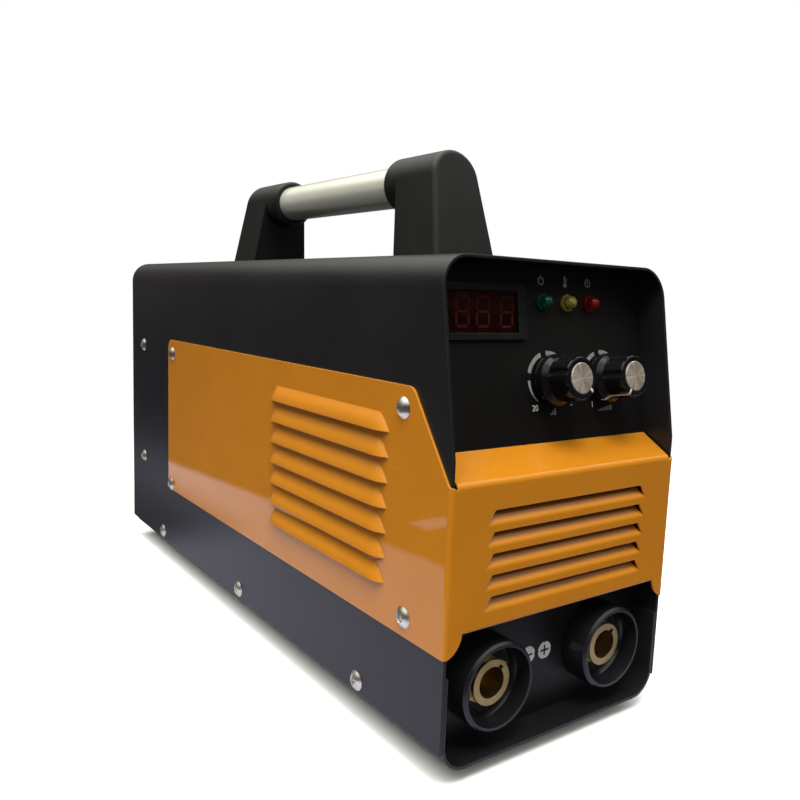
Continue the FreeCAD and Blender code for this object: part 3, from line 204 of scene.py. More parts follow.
def surface_texture():
    """Slow drift of colour and gloss, and a fine grain, all on object coordinates in metres."""
    tree, given, wanted = group("surface_texture", [
        ("Light", "NodeSocketColor", (1, 1, 1, 1)), ("Dark", "NodeSocketColor", (0, 0, 0, 1)),
        ("Smooth", "NodeSocketFloat", 0.3), ("Rough", "NodeSocketFloat", 0.5),
        ("Patch Scale", "NodeSocketFloat", 20.0), ("Grain Scale", "NodeSocketFloat", 900.0),
        ("Wave", "NodeSocketFloat", 0.0)],
        [("Colour", "NodeSocketColor"), ("Roughness", "NodeSocketFloat"), ("Height", "NodeSocketFloat")])
    place = add(tree, "ShaderNodeTexCoord").outputs["Object"]
    patches = add(tree, "ShaderNodeTexNoise", None,
                  {"Vector": place, "Scale": given["Patch Scale"], "Detail": 4.0, "Roughness": 0.6})
    grain = add(tree, "ShaderNodeTexNoise", None,
                {"Vector": place, "Scale": given["Grain Scale"], "Detail": 2.0, "Roughness": 0.5})
    drift = ramp(tree, patches.outputs["Fac"], 0.3, 0.7)
    colour = blend_colours(tree, drift, given["Dark"], given["Light"])
    speck = math_node(tree, "MULTIPLY_ADD", grain.outputs["Fac"], 0.5,
                      math_node(tree, "MULTIPLY", drift, 0.5))
    rough = add(tree, "ShaderNodeMix", {"data_type": "FLOAT"},
                {0: speck, 2: given["Smooth"], 3: given["Rough"]})
    tree.links.new(colour, wanted["Colour"])
    tree.links.new(rough.outputs[0], wanted["Roughness"])
    height = math_node(tree, "MULTIPLY_ADD", patches.outputs["Fac"], given["Wave"], grain.outputs["Fac"])
    tree.links.new(height, wanted["Height"])
    return tree


def painted_edge_highlights():
    """A mask that is 1 where the surface turns sharply outwards, for a painted edge highlight, and the
    rounded-over normal.
    """
    tree, given, wanted = group("painted_edge_highlights", [("Radius", "NodeSocketFloat", 0.0006)],
                                [("Mask", "NodeSocketFloat"), ("Normal", "NodeSocketVector")])
    round_over = add(tree, "ShaderNodeBevel", {"samples": 4}, {"Radius": given["Radius"]})
    flat = add(tree, "ShaderNodeNewGeometry").outputs["Normal"]
    turn = add(tree, "ShaderNodeVectorMath", {"operation": "DOT_PRODUCT"},
               {0: round_over.outputs[0], 1: flat}).outputs["Value"]
    tree.links.new(ramp(tree, turn, 0.98, 0.80), wanted["Mask"])
    tree.links.new(round_over.outputs[0], wanted["Normal"])
    return tree


TEXTURE = surface_texture()
EDGES = painted_edge_highlights()


def finish(name, light, dark, gloss, patch=20.0, grain=900.0, relief=0.00001, edge=None,
           edge_radius=0.0006, wave=0.0, **plain):
    """A material from the texture and edge groups. Edge is a lighter colour painted on sharp edges as a
    highlight. Plain holds values set on the shader itself.
    """
    material = bpy.data.materials.new(name)
    material.use_nodes = True
    tree = material.node_tree
    tree.nodes.clear()
    skin = add(tree, "ShaderNodeGroup", {"node_tree": TEXTURE},
               {"Light": (*light, 1), "Dark": (*dark, 1), "Smooth": gloss[0], "Rough": gloss[1],
                "Patch Scale": patch, "Grain Scale": grain, "Wave": wave})
    colour = skin.outputs["Colour"]
    bump = add(tree, "ShaderNodeBump", None,
               {"Height": skin.outputs["Height"], "Distance": relief, "Strength": 1.0})
    # Painted highlight: sharp outward edges take the lighter edge colour.
    if edge:
        edge_highlight = add(tree, "ShaderNodeGroup", {"node_tree": EDGES}, {"Radius": edge_radius})
        colour = blend_colours(tree, edge_highlight.outputs["Mask"], colour, (*edge, 1))
        tree.links.new(edge_highlight.outputs["Normal"], bump.inputs["Normal"])
    body = add(tree, "ShaderNodeBsdfPrincipled", None,
               {"Base Color": colour, "Roughness": skin.outputs["Roughness"], "Normal": bump.outputs[0]})
    for label, value in plain.items():
        body.inputs[label.replace("_", " ")].default_value = value
    add(tree, "ShaderNodeOutputMaterial", None, {"Surface": body.outputs[0]})
    return material


def dress(material, *names):
    """Gives a material to the slots of these nodes."""
    for name in names:
        for slot in nodes[name].material_slots:
            slot.material = material


case_black = finish("case_black", (0.0125, 0.0125, 0.0135), (0.0085, 0.0085, 0.0092), (0.30, 0.38), 14.0,
                    1500.0,
                    0.000012, edge=(0.030, 0.030, 0.032), edge_radius=0.0007, Specular_IOR_Level=0.40)
dress(case_black, "base_tray")

# ---- Feet ----------------------------------------------------------------------------------
# Four turned rubber feet, each held up against the tray by a pan-head screw sunk in its underside.
foot_rubber = finish("foot_rubber", (0.020, 0.020, 0.020), (0.012, 0.012, 0.012), (0.70, 0.85), 90.0,
                     700.0, 0.00004)
zinc_steel = finish("zinc_steel", (0.60, 0.59, 0.55), (0.48, 0.47, 0.43), (0.16, 0.30), 160.0, 900.0,
                    0.00001, Metallic=1.0)
dress(foot_rubber, "rubber_feet")
dress(zinc_steel, "foot_screws", "panel_screws", "handle_bolts")

# ---- Boards --------------------------------------------------------------------------------
# A glass-fibre power board stands on hexagon posts, and a control board hangs behind the dials.
# Both are green with a solder mask, and their posts are plated steel.
board_green = finish("board_green", (0.012, 0.115, 0.045), (0.008, 0.070, 0.030), (0.22, 0.35), 240.0,
                     1600.0, 0.00002)
dress(board_green, "main_board", "control_board")
dress(zinc_steel, "board_posts", "board_standoffs")

# ---- Power parts ---------------------------------------------------------------------------
# Two finned aluminium extrusions carry the transistors. The transformer is a ferrite core in a
# taped copper coil, with a choke ahead of it and three sleeved capacitors near the fan.
sink_aluminium = finish("sink_aluminium", (0.62, 0.63, 0.64), (0.50, 0.51, 0.52), (0.28, 0.42), 60.0,
                        1100.0, 0.00002, Metallic=1.0)
package_black = finish("package_black", (0.022, 0.022, 0.023), (0.014, 0.014, 0.015), (0.45, 0.60), 120.0,
                       1400.0)
ferrite = finish("ferrite", (0.060, 0.058, 0.056), (0.035, 0.034, 0.033), (0.50, 0.70), 200.0, 1300.0,
                 0.00004)
winding = finish("winding", (0.55, 0.25, 0.08), (0.40, 0.16, 0.05), (0.25, 0.40), 500.0, 900.0, 0.00012)
can_sleeve = finish("can_sleeve", (0.030, 0.045, 0.120), (0.020, 0.030, 0.085), (0.22, 0.32), 50.0, 700.0)
copper = finish("copper", (0.72, 0.33, 0.18), (0.52, 0.22, 0.12), (0.25, 0.45), 70.0, 800.0, 0.00001,
                Metallic=1.0)
dress(sink_aluminium, "heat_sink_left", "heat_sink_right")
dress(package_black, "power_transistors")
dress(ferrite, "transformer_core")
dress(winding, "transformer_winding", "output_choke")
dress(can_sleeve, "bulk_capacitors")
dress(copper, "busbar_minus", "busbar_plus")

# ---- Front and rear panels -----------------------------------------------------------------
# Two folded steel panels slide in between the tray and the cover. The front one leans back above
# its sill. Both are powder coated in the case's black, a little flatter.
panel_black = finish("panel_black", (0.0075, 0.0070, 0.0070), (0.0050, 0.0048, 0.0048), (0.36, 0.46), 16.0,
                     1500.0,
                     0.000012, edge=(0.022, 0.022, 0.022), edge_radius=0.0005, Specular_IOR_Level=0.32)
dress(panel_black, "front_panel", "rear_panel")

# ---- Cover ---------------------------------------------------------------------------------
# The upper half of the case: one sheet over the top and both sides, its long edges rolled round.
# It overlaps the tray, and its open front and rear edges stand past the panels as hoods.
dress(case_black, "cover")

# ---- Fan and finger guard ------------------------------------------------------------------
# A boxed axial fan blows in through the rear panel. Its wire guard is rings of chromed wire
# welded to four spokes, held with the fan by four pan-head screws.
fan_black = finish("fan_black", (0.020, 0.020, 0.021), (0.012, 0.012, 0.013), (0.40, 0.55), 40.0, 1000.0,
                   0.00001)
dress(fan_black, "fan_frame", "fan_rotor")
wire_chrome = finish("wire_chrome", (0.70, 0.70, 0.69), (0.60, 0.60, 0.58), (0.10, 0.20), 90.0, 700.0,
                     Metallic=1.0)
dress(wire_chrome, "fan_grille")
dress(zinc_steel, "fan_screws")

# ---- Power switch, cable gland and earth stud ----------------------------------------------
# A snap-in rocker switch, a nylon gland for the mains lead with its rubber seal, and a brass
# stud for the earth lead, all on the rear panel.
switch_black = finish("switch_black", (0.018, 0.018, 0.019), (0.011, 0.011, 0.012), (0.28, 0.40), 60.0,
                      1200.0, edge=(0.03, 0.03, 0.03), edge_radius=0.0004)
rocker_red = finish("rocker_red", (0.42, 0.012, 0.010), (0.30, 0.008, 0.007), (0.18, 0.28), 60.0, 900.0)
gland_black = finish("gland_black", (0.022, 0.022, 0.023), (0.014, 0.014, 0.015), (0.38, 0.52), 60.0,
                     1100.0, 0.00002, edge=(0.035, 0.035, 0.035), edge_radius=0.0005)
seal_rubber = finish("seal_rubber", (0.030, 0.030, 0.030), (0.020, 0.020, 0.020), (0.65, 0.80), 90.0, 800.0)
brass = finish("brass", (0.62, 0.46, 0.21), (0.46, 0.34, 0.14), (0.28, 0.45), 130.0, 900.0, 0.00001,
               Metallic=1.0, edge=(0.66, 0.55, 0.36), edge_radius=0.0003)
dress(switch_black, "power_switch_body")
dress(rocker_red, "power_switch_rocker")
dress(gland_black, "gland_body", "gland_nut", "gland_locknut")
dress(seal_rubber, "gland_seal")
dress(brass, "earth_stud", "earth_nut")

# ---- Output sockets ------------------------------------------------------------------------
# Two moulded black housings, each a deep cup round a hexagon brass insert with a keyed bore.
# The insert's stud passes through the panel to a ring nut and a copper bar.
socket_black = finish("socket_black", (0.011, 0.011, 0.013), (0.007, 0.007, 0.009), (0.14, 0.24), 50.0,
                      1300.0, 0.000005, edge=(0.04, 0.04, 0.045), edge_radius=0.0004)
dress(socket_black, "socket_housing_minus", "socket_housing_plus", "socket_rings")
dress(brass, "socket_insert_minus", "socket_insert_plus")
dress(zinc_steel, "socket_nuts")

# ---- Display -------------------------------------------------------------------------------
# A three-digit meter behind a deep red window, in a moulded frame that stands a little proud.
# Its digits are off, so their bars only show as a paler red.
PANEL_FOOT = (-174.5, 130.0)
PANEL_LEAN = math.radians(9.3)


def on_panel(x, rise, out):
    """Millimetres on the leaning panel: x across, rise up it from the sill, out away from it."""
    return (x, PANEL_FOOT[0] + rise * math.sin(PANEL_LEAN) - out * math.cos(PANEL_LEAN),
            PANEL_FOOT[1] + rise * math.cos(PANEL_LEAN) + out * math.sin(PANEL_LEAN))


def loose_object(name, points, faces):
    """An object with a mesh from points in millimetres."""
    mesh = bpy.data.meshes.new(name)
    mesh.from_pydata([(x / 1000, y / 1000, z / 1000) for x, y, z in points], [], faces)
    made = bpy.data.objects.new(name, mesh)
    bpy.context.scene.collection.objects.link(made)
    return made


def piece(name, points, faces, material, slot_name, body, replaced=(), sharp=35.0):
    """A finished mesh from points in millimetres, riding on a body."""
    made = loose_object(name, points, faces)
    tidy_shell(made, sharp)
    return fitted(made, material, slot_name, body, replaced)


def tidy_shell(made, sharp, weld=0.000002):
    """Merges doubles, turns every face outwards and splits the shading at sharp edges."""
    shell = bmesh.new()
    shell.from_mesh(made.data)
    bmesh.ops.remove_doubles(shell, verts=shell.verts, dist=weld)
    bmesh.ops.recalc_face_normals(shell, faces=shell.faces)
    shell.to_mesh(made.data)
    shell.free()
    made.data.shade_smooth()
    made.data.set_sharp_from_angle(angle=math.radians(sharp))


def fitted(made, material, slot_name, body, replaced=()):
    made.data.materials.clear()
    made.data.materials.append(material)
    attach(made, body)
    if replaced:
        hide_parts(*replaced)
    return made


def raised(outlines, low, high, lay):
    """Flat shapes given by their outlines, made solid between two depths and laid by lay(u, v, d)."""
    points, faces = [], []
    for ring in outlines:
        start, count = len(points), len(ring)
        points += [lay(u, v, low) for u, v in ring] + [lay(u, v, high) for u, v in ring]
        flat = [[Vector((u, v, 0)) for u, v in ring]]
        for triangle in tessellate_polygon(flat):
            faces.append(tuple(start + count + i for i in triangle))
            faces.append(tuple(start + i for i in reversed(triangle)))
        for i in range(count):
            j = (i + 1) % count
            faces.append((start + i, start + j, start + count + j, start + count + i))
    return points, faces


bezel_black = finish("bezel_black", (0.012, 0.012, 0.013), (0.008, 0.008, 0.009), (0.22, 0.32), 40.0,
                     1200.0, 0.000003, edge=(0.03, 0.03, 0.03), edge_radius=0.0005, Specular_IOR_Level=0.40)
lens_red = finish("lens_red", (0.52, 0.20, 0.19), (0.46, 0.17, 0.16), (0.05, 0.09), 30.0, 300.0,
                  0.000002, Transmission_Weight=1.0, IOR=1.45)
digit_red = finish("digit_red", (0.22, 0.085, 0.080), (0.18, 0.070, 0.066), (0.35, 0.50), 80.0, 900.0)
module_face = finish("module_face", (0.115, 0.056, 0.052), (0.092, 0.045, 0.042), (0.40, 0.55), 80.0, 900.0)
dress(bezel_black, "display_bezel")
dress(lens_red, "display_lens")
dress(module_face, "digit_module")
DIGIT_LEFT = (-47.6, -36.8, -24.0)
DIGIT_LOW, DIGIT_HIGH, DIGIT_W, BAR = 49.0, 61.0, 6.3, 1.0


def digit_bars(left):
    """The seven bars of one figure 8, each a slim hexagon, sheared a little to the right."""
    middle = (DIGIT_LOW + DIGIT_HIGH) / 2
    bars = []
    for v in (DIGIT_LOW, middle, DIGIT_HIGH):
        bars.append([(left + 0.4, v), (left + 0.4 + BAR / 2, v + BAR / 2),
                     (left + DIGIT_W - 0.4 - BAR / 2, v + BAR / 2), (left + DIGIT_W - 0.4, v),
                     (left + DIGIT_W - 0.4 - BAR / 2, v - BAR / 2), (left + 0.4 + BAR / 2, v - BAR / 2)])
    for u in (left, left + DIGIT_W):
        for v in (DIGIT_LOW, middle):
            top = v + middle - DIGIT_LOW
            bars.append([(u, v + 0.4), (u - BAR / 2, v + 0.4 + BAR / 2), (u - BAR / 2, top - 0.4 - BAR / 2),
                         (u, top - 0.4), (u + BAR / 2, top - 0.4 - BAR / 2),
                         (u + BAR / 2, v + 0.4 + BAR / 2)])
    return [[(u + (v - middle) * 0.09, v) for u, v in bar] for bar in bars]


bars = [bar for left in DIGIT_LEFT for bar in digit_bars(left)]
piece("digit_bars", *raised(bars, -0.75, -0.52, on_panel), digit_red, "digit_red", "case")

# ---- Signal lamps --------------------------------------------------------------------------
# Three clear coloured lenses with a small flange, pressed into the panel: green, amber and red.
lamp_green = finish("lamp_green", (0.004, 0.105, 0.060), (0.002, 0.050, 0.030), (0.12, 0.25), 400.0, 900.0,
                    0.00008, Transmission_Weight=0.35, IOR=1.5)
lamp_amber = finish("lamp_amber", (0.40, 0.33, 0.06), (0.26, 0.20, 0.03), (0.12, 0.25), 400.0, 900.0,
                    0.00008, Transmission_Weight=0.35, IOR=1.5)
lamp_red = finish("lamp_red", (0.30, 0.008, 0.008), (0.16, 0.004, 0.004), (0.12, 0.25), 400.0, 900.0,
                  0.00008, Transmission_Weight=0.35, IOR=1.5)
dress(lamp_green, "power_lamp")
dress(lamp_amber, "heat_lamp")
dress(lamp_red, "fault_lamp")

# ---- Dials ---------------------------------------------------------------------------------
# Two moulded knobs with a skirt, eight finger flutes and a printed pointer. A spun aluminium disc
# is glued in the front of each, and each knob turns with the shaft of its potentiometer.
DIAL_UP = 26.2
CURRENT_X, FORCE_X = 1.3, 35.2
FLUTES = 8
knob_black = finish("knob_black", (0.007, 0.007, 0.008), (0.004, 0.004, 0.005), (0.07, 0.14), 60.0, 900.0,
                    0.000006, Specular_IOR_Level=0.32)
def shader_in(tree):
    return next(n for n in tree.nodes if n.type == "BSDF_PRINCIPLED")


cap_aluminium = finish("cap_aluminium", (0.86, 0.76, 0.64), (0.76, 0.66, 0.55), (0.20, 0.28), 200.0, 900.0,
                       0.000002, Metallic=0.70, Anisotropic=0.92)
spun_tree = cap_aluminium.node_tree
shader = shader_in(spun_tree)
spin_direction = add(spun_tree, "ShaderNodeTangent", {"direction_type": "UV_MAP", "uv_map": "spun"})
bearing = add(spun_tree, "ShaderNodeUVMap", {"uv_map": "bearing"})
# Painted highlight, and partly the metal's own radial streaks: the disc's colour turns lighter and darker
# in wedges round its centre, standing in for the bow-tie highlights of spun metal.
streaks = add(spun_tree, "ShaderNodeTexNoise", {"noise_dimensions": "2D"},
              {"Vector": bearing.outputs[0], "Scale": 1.7, "Detail": 3.0, "Roughness": 0.65})
painted_wedge_shine = ramp(spun_tree, streaks.outputs["Fac"], 0.34, 0.68)
spun_tree.links.new(blend_colours(spun_tree, painted_wedge_shine, (0.58, 0.47, 0.38, 1), (1.0, 0.90, 0.76, 1)),
                    shader.inputs["Base Color"])
spun_tree.links.new(spin_direction.outputs[0], shader.inputs["Tangent"])
print_white = finish("print_white", (0.62, 0.61, 0.60), (0.50, 0.49, 0.48), (0.45, 0.60), 300.0, 1500.0,
                     0.000008)
print_grey = finish("print_grey", (0.27, 0.265, 0.26), (0.21, 0.206, 0.202), (0.45, 0.60), 300.0, 1500.0,
                    0.000008)
shaft_steel = finish("shaft_steel", (0.62, 0.61, 0.60), (0.50, 0.50, 0.49), (0.20, 0.35), 90.0, 900.0,
                     Metallic=1.0)
pot_metal = finish("pot_metal", (0.55, 0.54, 0.50), (0.42, 0.41, 0.38), (0.28, 0.40), 90.0, 900.0,
                   Metallic=1.0)
dress(shaft_steel, "current_pot_shaft", "force_pot_shaft")
dress(pot_metal, "current_pot", "force_pot", "pot_nuts")


def flute_radius(radius, turn):
    """Where a ray at this angle from the nearest flute's middle meets the flute or the body."""
    centre, hollow = 10.7, 2.3
    step = 2 * math.pi / FLUTES
    gap = abs((turn + step / 2) % step - step / 2)
    side = hollow ** 2 - (centre * math.sin(gap)) ** 2
    if side <= 0:
        return radius
    return min(radius, centre * math.cos(gap) - math.sqrt(side))


def lathe(rings, around, lay):
    """Rings of (out, radius function of the angle), joined into a closed skin laid by lay(u, v, d)."""
    points, faces = [], []
    for out, radius in rings:
        for k in range(around):
            turn = 2 * math.pi * k / around
            points.append(lay(radius(turn) * math.sin(turn), radius(turn) * math.cos(turn), out))
    for row in range(len(rings) - 1):
        for k in range(around):
            a, b = row * around + k, row * around + (k + 1) % around
            faces.append((a, b, b + around, a + around))
    for row in (0, len(rings) - 1):
        faces.append(tuple(range(row * around, (row + 1) * around)))
    return points, faces


def dial(name, x, rest, body):
    def lay(u, v, out):
        return on_panel(x + u, DIAL_UP + v, out)

    def even(radius):
        return lambda turn: radius

    def fluted(radius):
        return lambda turn: flute_radius(radius, turn - math.radians(rest) - math.pi / FLUTES)

    rings = [(3.5, even(8.0)), (2.6, even(8.2)), (2.5, even(10.5)), (2.6, even(10.85)), (2.9, even(11.0)),
             (6.1, even(11.0)), (6.4, even(10.93)), (6.6, even(10.7)), (8.3, even(9.6)), (8.55, even(9.35)),
             (8.75, fluted(9.25)), (9.2, fluted(9.28)), (17.4, fluted(9.1)), (17.9, fluted(9.05)),
             (18.3, fluted(8.9)), (18.6, fluted(8.65)), (18.78, fluted(8.3)), (18.8, fluted(8.0)),
             (18.8, even(6.65)), (18.7, even(6.5)), (18.2, even(6.45))]
    piece(name + "_knob_body", *lathe(rings, 192, lay), knob_black, "knob_black", body, (name + "_knob",),
          50.0)

    cap_rings = [(18.25, even(6.35)), (18.95, even(6.35)), (19.08, even(6.2))]
    cap_rings += [(19.1, even(6.05 - 0.65 * i)) for i in range(9)] + [(19.1, even(0.35))]
    points, faces = lathe(cap_rings, 96, lay)
    cap = piece(name + "_knob_disc", points, faces, cap_aluminium, "cap_aluminium", body,
                (name + "_knob_cap",), 40.0)
    spun = cap.data.uv_layers.new(name="spun")
    bearings = cap.data.uv_layers.new(name="bearing")
    for face in cap.data.polygons:
        around, before = [], None
        for index in face.loop_indices:
            place = cap.data.vertices[cap.data.loops[index].vertex_index].co * 1000
            place = place - Vector(on_panel(x, DIAL_UP, 19.1))
            rise = place.y * math.sin(PANEL_LEAN) + place.z * math.cos(PANEL_LEAN)
            turn = math.atan2(rise, place.x) / (2 * math.pi)
            if before is not None:
                turn += round(before - turn)
            before = turn
            spun.data[index].uv = (turn, math.hypot(place.x, rise) / 6)
            bearings.data[index].uv = (math.cos(2 * math.pi * turn), math.sin(2 * math.pi * turn))

    line = [(6.3, 18.86), (8.0, 18.87), (8.35, 18.84), (8.72, 18.65), (8.97, 18.33), (9.11, 17.9),
            (9.17, 17.4), (9.34, 9.2), (9.42, 8.6), (10.76, 6.65), (11.0, 6.36), (11.06, 6.1), (11.06, 4.0)]
    half = 0.5
    points, faces = [], []
    bearing = math.radians(rest)
    for radius, out in line:
        for side in (-half, half):
            for sink in (0.0, 0.16):
                r = radius - sink
                points.append(lay(r * math.sin(bearing) + side * math.cos(bearing),
                                  r * math.cos(bearing) - side * math.sin(bearing), out - sink * 0.6))
    for i in range(len(line) - 1):
        a, b = 4 * i, 4 * i + 4
        faces += [(a, a + 2, b + 2, b), (a + 1, b + 1, b + 3, a + 3), (a, b, b + 1, a + 1),
                  (a + 2, a + 3, b + 3, b + 2)]
    end = 4 * (len(line) - 1)
    faces += [(0, 1, 3, 2), (end, end + 2, end + 3, end + 1)]
    piece(name + "_pointer", points, faces, print_white, "knob_black", body)


dial("current", CURRENT_X, 133.0, "current_dial")
dial("force", FORCE_X, -150.0, "force_dial")

# ---- Printed marks -------------------------------------------------------------------------
# Pale grey print on the panels: a broken scale round each dial with the numbers at its start, a
# small picture over each lamp, and plus and minus signs between the sockets.
def arc_band(x, rise, inner, outer, start, stop, taper=None):
    """A band of a ring between two bearings; taper widens it from the bearing given."""
    steps = max(2, int(abs(stop - start) / 4))
    bearings = [start + (stop - start) * i / steps for i in range(steps + 1)]
    ring = []
    for bearing in bearings:
        wide = outer - inner
        if taper is not None:
            wide *= min(1.0, (bearing - taper) / 85.0) ** 0.8
        turn = math.radians(bearing)
        ring.append((x + (inner + wide) * math.sin(turn), rise + (inner + wide) * math.cos(turn)))
    turns = [math.radians(bearing) for bearing in bearings]
    return ring + [(x + inner * math.sin(t), rise + inner * math.cos(t)) for t in reversed(turns)]


def bar(u, v, half_u, half_v):
    return [(u - half_u, v - half_v), (u + half_u, v - half_v),
            (u + half_u, v + half_v), (u - half_u, v + half_v)]


PRINT_BACK, PRINT_FRONT = -0.05, 0.06
marks = []
for x in (CURRENT_X, FORCE_X):
    for start in (-141.0, -72.5, -4.0, 64.5):
        if x < 20 or start > -100:
            marks.append(arc_band(x, DIAL_UP, 10.8, 12.7, start, start + 53, -152.0))
marks += [arc_band(0.0, 68.8, 1.35, 1.85, 25, 335), bar(0.0, 70.2, 0.25, 1.2)]
marks += [arc_band(14.8, 67.4, 0.0, 1.1, -180, 175), bar(14.8, 69.4, 0.45, 1.9), bar(16.0, 70.2, 0.4, 0.18),
          bar(16.0, 69.2, 0.4, 0.18)]
marks += [arc_band(29.5, 68.8, 1.4, 1.85, 0, 358), bar(29.5, 69.2, 0.28, 0.75), bar(29.5, 67.9, 0.28, 0.25)]
marks += [bar(1.6 + 0.95 * i, 11.7 + 0.38 * i, 0.3, 0.35 + 0.38 * i) for i in range(4)]
marks += [bar(14.6, 15.2, 0.5, 0.3)]
marks += [bar(32.4 + 1.2 * i, 11.9 + 0.13 * i, 0.32, 0.3 + 0.13 * i) for i in range(8)]
piece("panel_marks", *raised(marks, PRINT_BACK, PRINT_FRONT, on_panel), print_grey, "panel_black", "case")


def front_face(u, v, out):
    return (u, PANEL_FOOT[0] - out, v)


SIGN_UP, SIGN_R, SIGN_GAP = 35.5, 4.0, 0.5
PLUS_X, MINUS_X = 5.0, -5.0


def sign(x, upright):
    """A pale disc with the sign left open in it, made of four quadrants; upright opens a plus."""
    rings = []
    for k in range(4):
        turns = [math.radians(90 * k + 90 * i / 8) for i in range(9)]
        edge = [(SIGN_R * math.sin(t), SIGN_R * math.cos(t)) for t in turns]
        su = 1 if k in (0, 1) else -1
        sv = 1 if k in (0, 3) else -1
        gap_u = SIGN_GAP if upright else 0.0
        corner = [(su * gap_u, sv * SIGN_GAP)]
        clipped = [(su * max(su * u, gap_u), sv * max(sv * v, SIGN_GAP)) for u, v in edge]
        rings.append([(x + u, SIGN_UP + v) for u, v in corner + clipped])
    return rings


def sideways_ends(x):
    """The caps that close the level bar's two ends inside the disc."""
    return [bar(x + s * 3.1, SIGN_UP, 0.55, 0.52) for s in (-1, 1)]


discs = sign(PLUS_X, True) + sign(MINUS_X, False)
plus_ends = [bar(PLUS_X, SIGN_UP + s * 3.1, 0.52, 0.55) for s in (-1, 1)] + sideways_ends(PLUS_X)
minus_ends = sideways_ends(MINUS_X)
piece("polarity_marks", *raised(discs + plus_ends + minus_ends, PRINT_BACK, PRINT_FRONT, front_face),
      print_white,
      "panel_black", "case")


FIGURES_UP, FIGURES_TALL = 13.6, 3.7


def figures(words, x, rise, tall):
    """Plain figures, standing on the panel's surface."""
    curve = bpy.data.curves.new("figures", "FONT")
    curve.body = words
    curve.size = tall
    curve.extrude = 0.05
    curve.align_x = "CENTER"
    holder = bpy.data.objects.new("figures", curve)
    flat = bpy.data.meshes.new_from_object(holder)
    points = [on_panel(x + v.co.x, rise + v.co.y, 0.02 + v.co.z) for v in flat.vertices]
    faces = [tuple(p.vertices) for p in flat.polygons]
    bpy.data.objects.remove(holder)
    bpy.data.curves.remove(curve)
    return points, faces


piece("current_scale_start", *figures("20", -7.5, FIGURES_UP, FIGURES_TALL), print_white, "panel_black",
      "case")
piece("force_scale_start", *figures("1", 28.2, FIGURES_UP, FIGURES_TALL), print_white, "panel_black",
      "case")

# ---- Front guard ---------------------------------------------------------------------------
# One steel sheet wrapped round the front: a face with five lanced vents under a sloping ledge,
# and long side plates with seven pressed louvres each. It is stove enamelled in gloss orange.
GUARD_X, FACE_Y = 66.0, -190.0
BEND = 2.0
PRESS_OUT, PRESS_TALL, PRESS_LONG, PRESS_END, PRESS_LEAN = 3.6, 7.4, 106.0, 9.0, 6.0
PRESS_START, PRESS_LOW, PRESS_PITCH, PRESSES = -149.5, 134.9, 10.55, 7
VENT_TOP, VENT_PITCH, VENT_RISE, VENTS = 109.7, 8.6, 6.3, 5
VENT_HALF_TOP, VENT_HALF_LOW = 43.5, 47.5


def rounded(corners):
    """An outline through (u, v, radius) corners, each rounded by its radius."""
    ring = []
    count = len(corners)
    for i, (u, v, radius) in enumerate(corners):
        here = Vector((u, v))
        before = (Vector(corners[i - 1][:2]) - here).normalized()
        after = (Vector(corners[(i + 1) % count][:2]) - here).normalized()
        if radius <= 0:
            ring.append((u, v))
            continue
        half = before.angle(after) / 2
        centre = here + (before + after).normalized() * (radius / math.sin(half))
        first = here + before * (radius / math.tan(half)) - centre
        last = here + after * (radius / math.tan(half)) - centre
        for k in range(7):
            spoke = first.slerp(last, k / 6) * radius
            ring.append((centre.x + spoke.x, centre.y + spoke.y))
    return ring


def press_lift(along, rise):
    """How far a louvre stands out: from a round shoulder down to its open lower edge."""
    up = rise / PRESS_TALL
    slope = PRESS_OUT * (0.45 * (1 - up) + 0.55 * (1 - up * up))
    inset = min(1.0, min(along, PRESS_LONG - along) / PRESS_END)
    end = PRESS_OUT * math.sin(math.pi / 2 * inset) ** 0.8
    soft = 0.8
    low = min(slope, end) - soft * max(0.0, 1 - abs(slope - end) / (2 * soft)) ** 2 / 2
    low = max(0.0, low)
    return low * (low + 0.2) / (low + 0.5) * 1.07


def press_place(along, rise):
    """The louvre's ends lean in towards its top."""
    middle = PRESS_LONG / 2
    return PRESS_START + middle + (along - middle) * (1 - PRESS_LEAN * rise / PRESS_TALL / middle)


ALONG = [i / 2 for i in range(13)] + [7, 8.5, 11, 15] + [20 + 11 * i for i in range(7)]
ALONG += [91, 95, 97.5, 99] + [100 + i / 2 for i in range(13)]
RISES = [PRESS_TALL * i / 14 for i in range(15)]


def side_pressing(side):
    points = [(side * (GUARD_X + press_lift(a, r)), press_place(a, r), r) for r in RISES for a in ALONG]
    wide = len(ALONG)
    faces = [(j * wide + i, j * wide + i + 1, (j + 1) * wide + i + 1, (j + 1) * wide + i)
             for j in range(len(RISES) - 1) for i in range(wide - 1)]
    return points, faces


def side_plate(side):
    """The flat of one side plate, with a hole for each louvre whose edge matches its pressing."""
    rings = [rounded([(-188.0, 54.0, 0), (110.0, 54.0, 6), (110.0, 155.0, 6), (-164.0, 155.0, 6),
                      (-187.4, 121.9, 0), (-188.0, 121.1, 0)])]
    for i in range(PRESSES):
        low = PRESS_LOW - i * PRESS_PITCH
        hole = [(press_place(0, 0), low), (press_place(PRESS_LONG, 0), low)]
        hole += [(press_place(PRESS_LONG, r), low + r) for r in RISES[1:]]
        hole += [(press_place(a, PRESS_TALL), low + PRESS_TALL) for a in reversed(ALONG[:-1])]
        hole += [(press_place(0, r), low + r) for r in reversed(RISES[1:-1])]
        rings.append(hole)
    faces = tessellate_polygon([[Vector((u, v, 0)) for u, v in ring] for ring in rings])
    return [(side * GUARD_X, u, v) for ring in rings for u, v in ring], faces


def tab_edge(s):
    """Lower edge of the sheet at s across it: the face's edge, curving down into the corner tabs."""
    if s <= 57.5:
        return 63.9
    return 63.9 - 9.9 * math.sqrt(max(0.0, 1 - ((66.5 - s) / 9.0) ** 2)) if s < 66.5 else 54.0


VENT_COLUMNS = 16


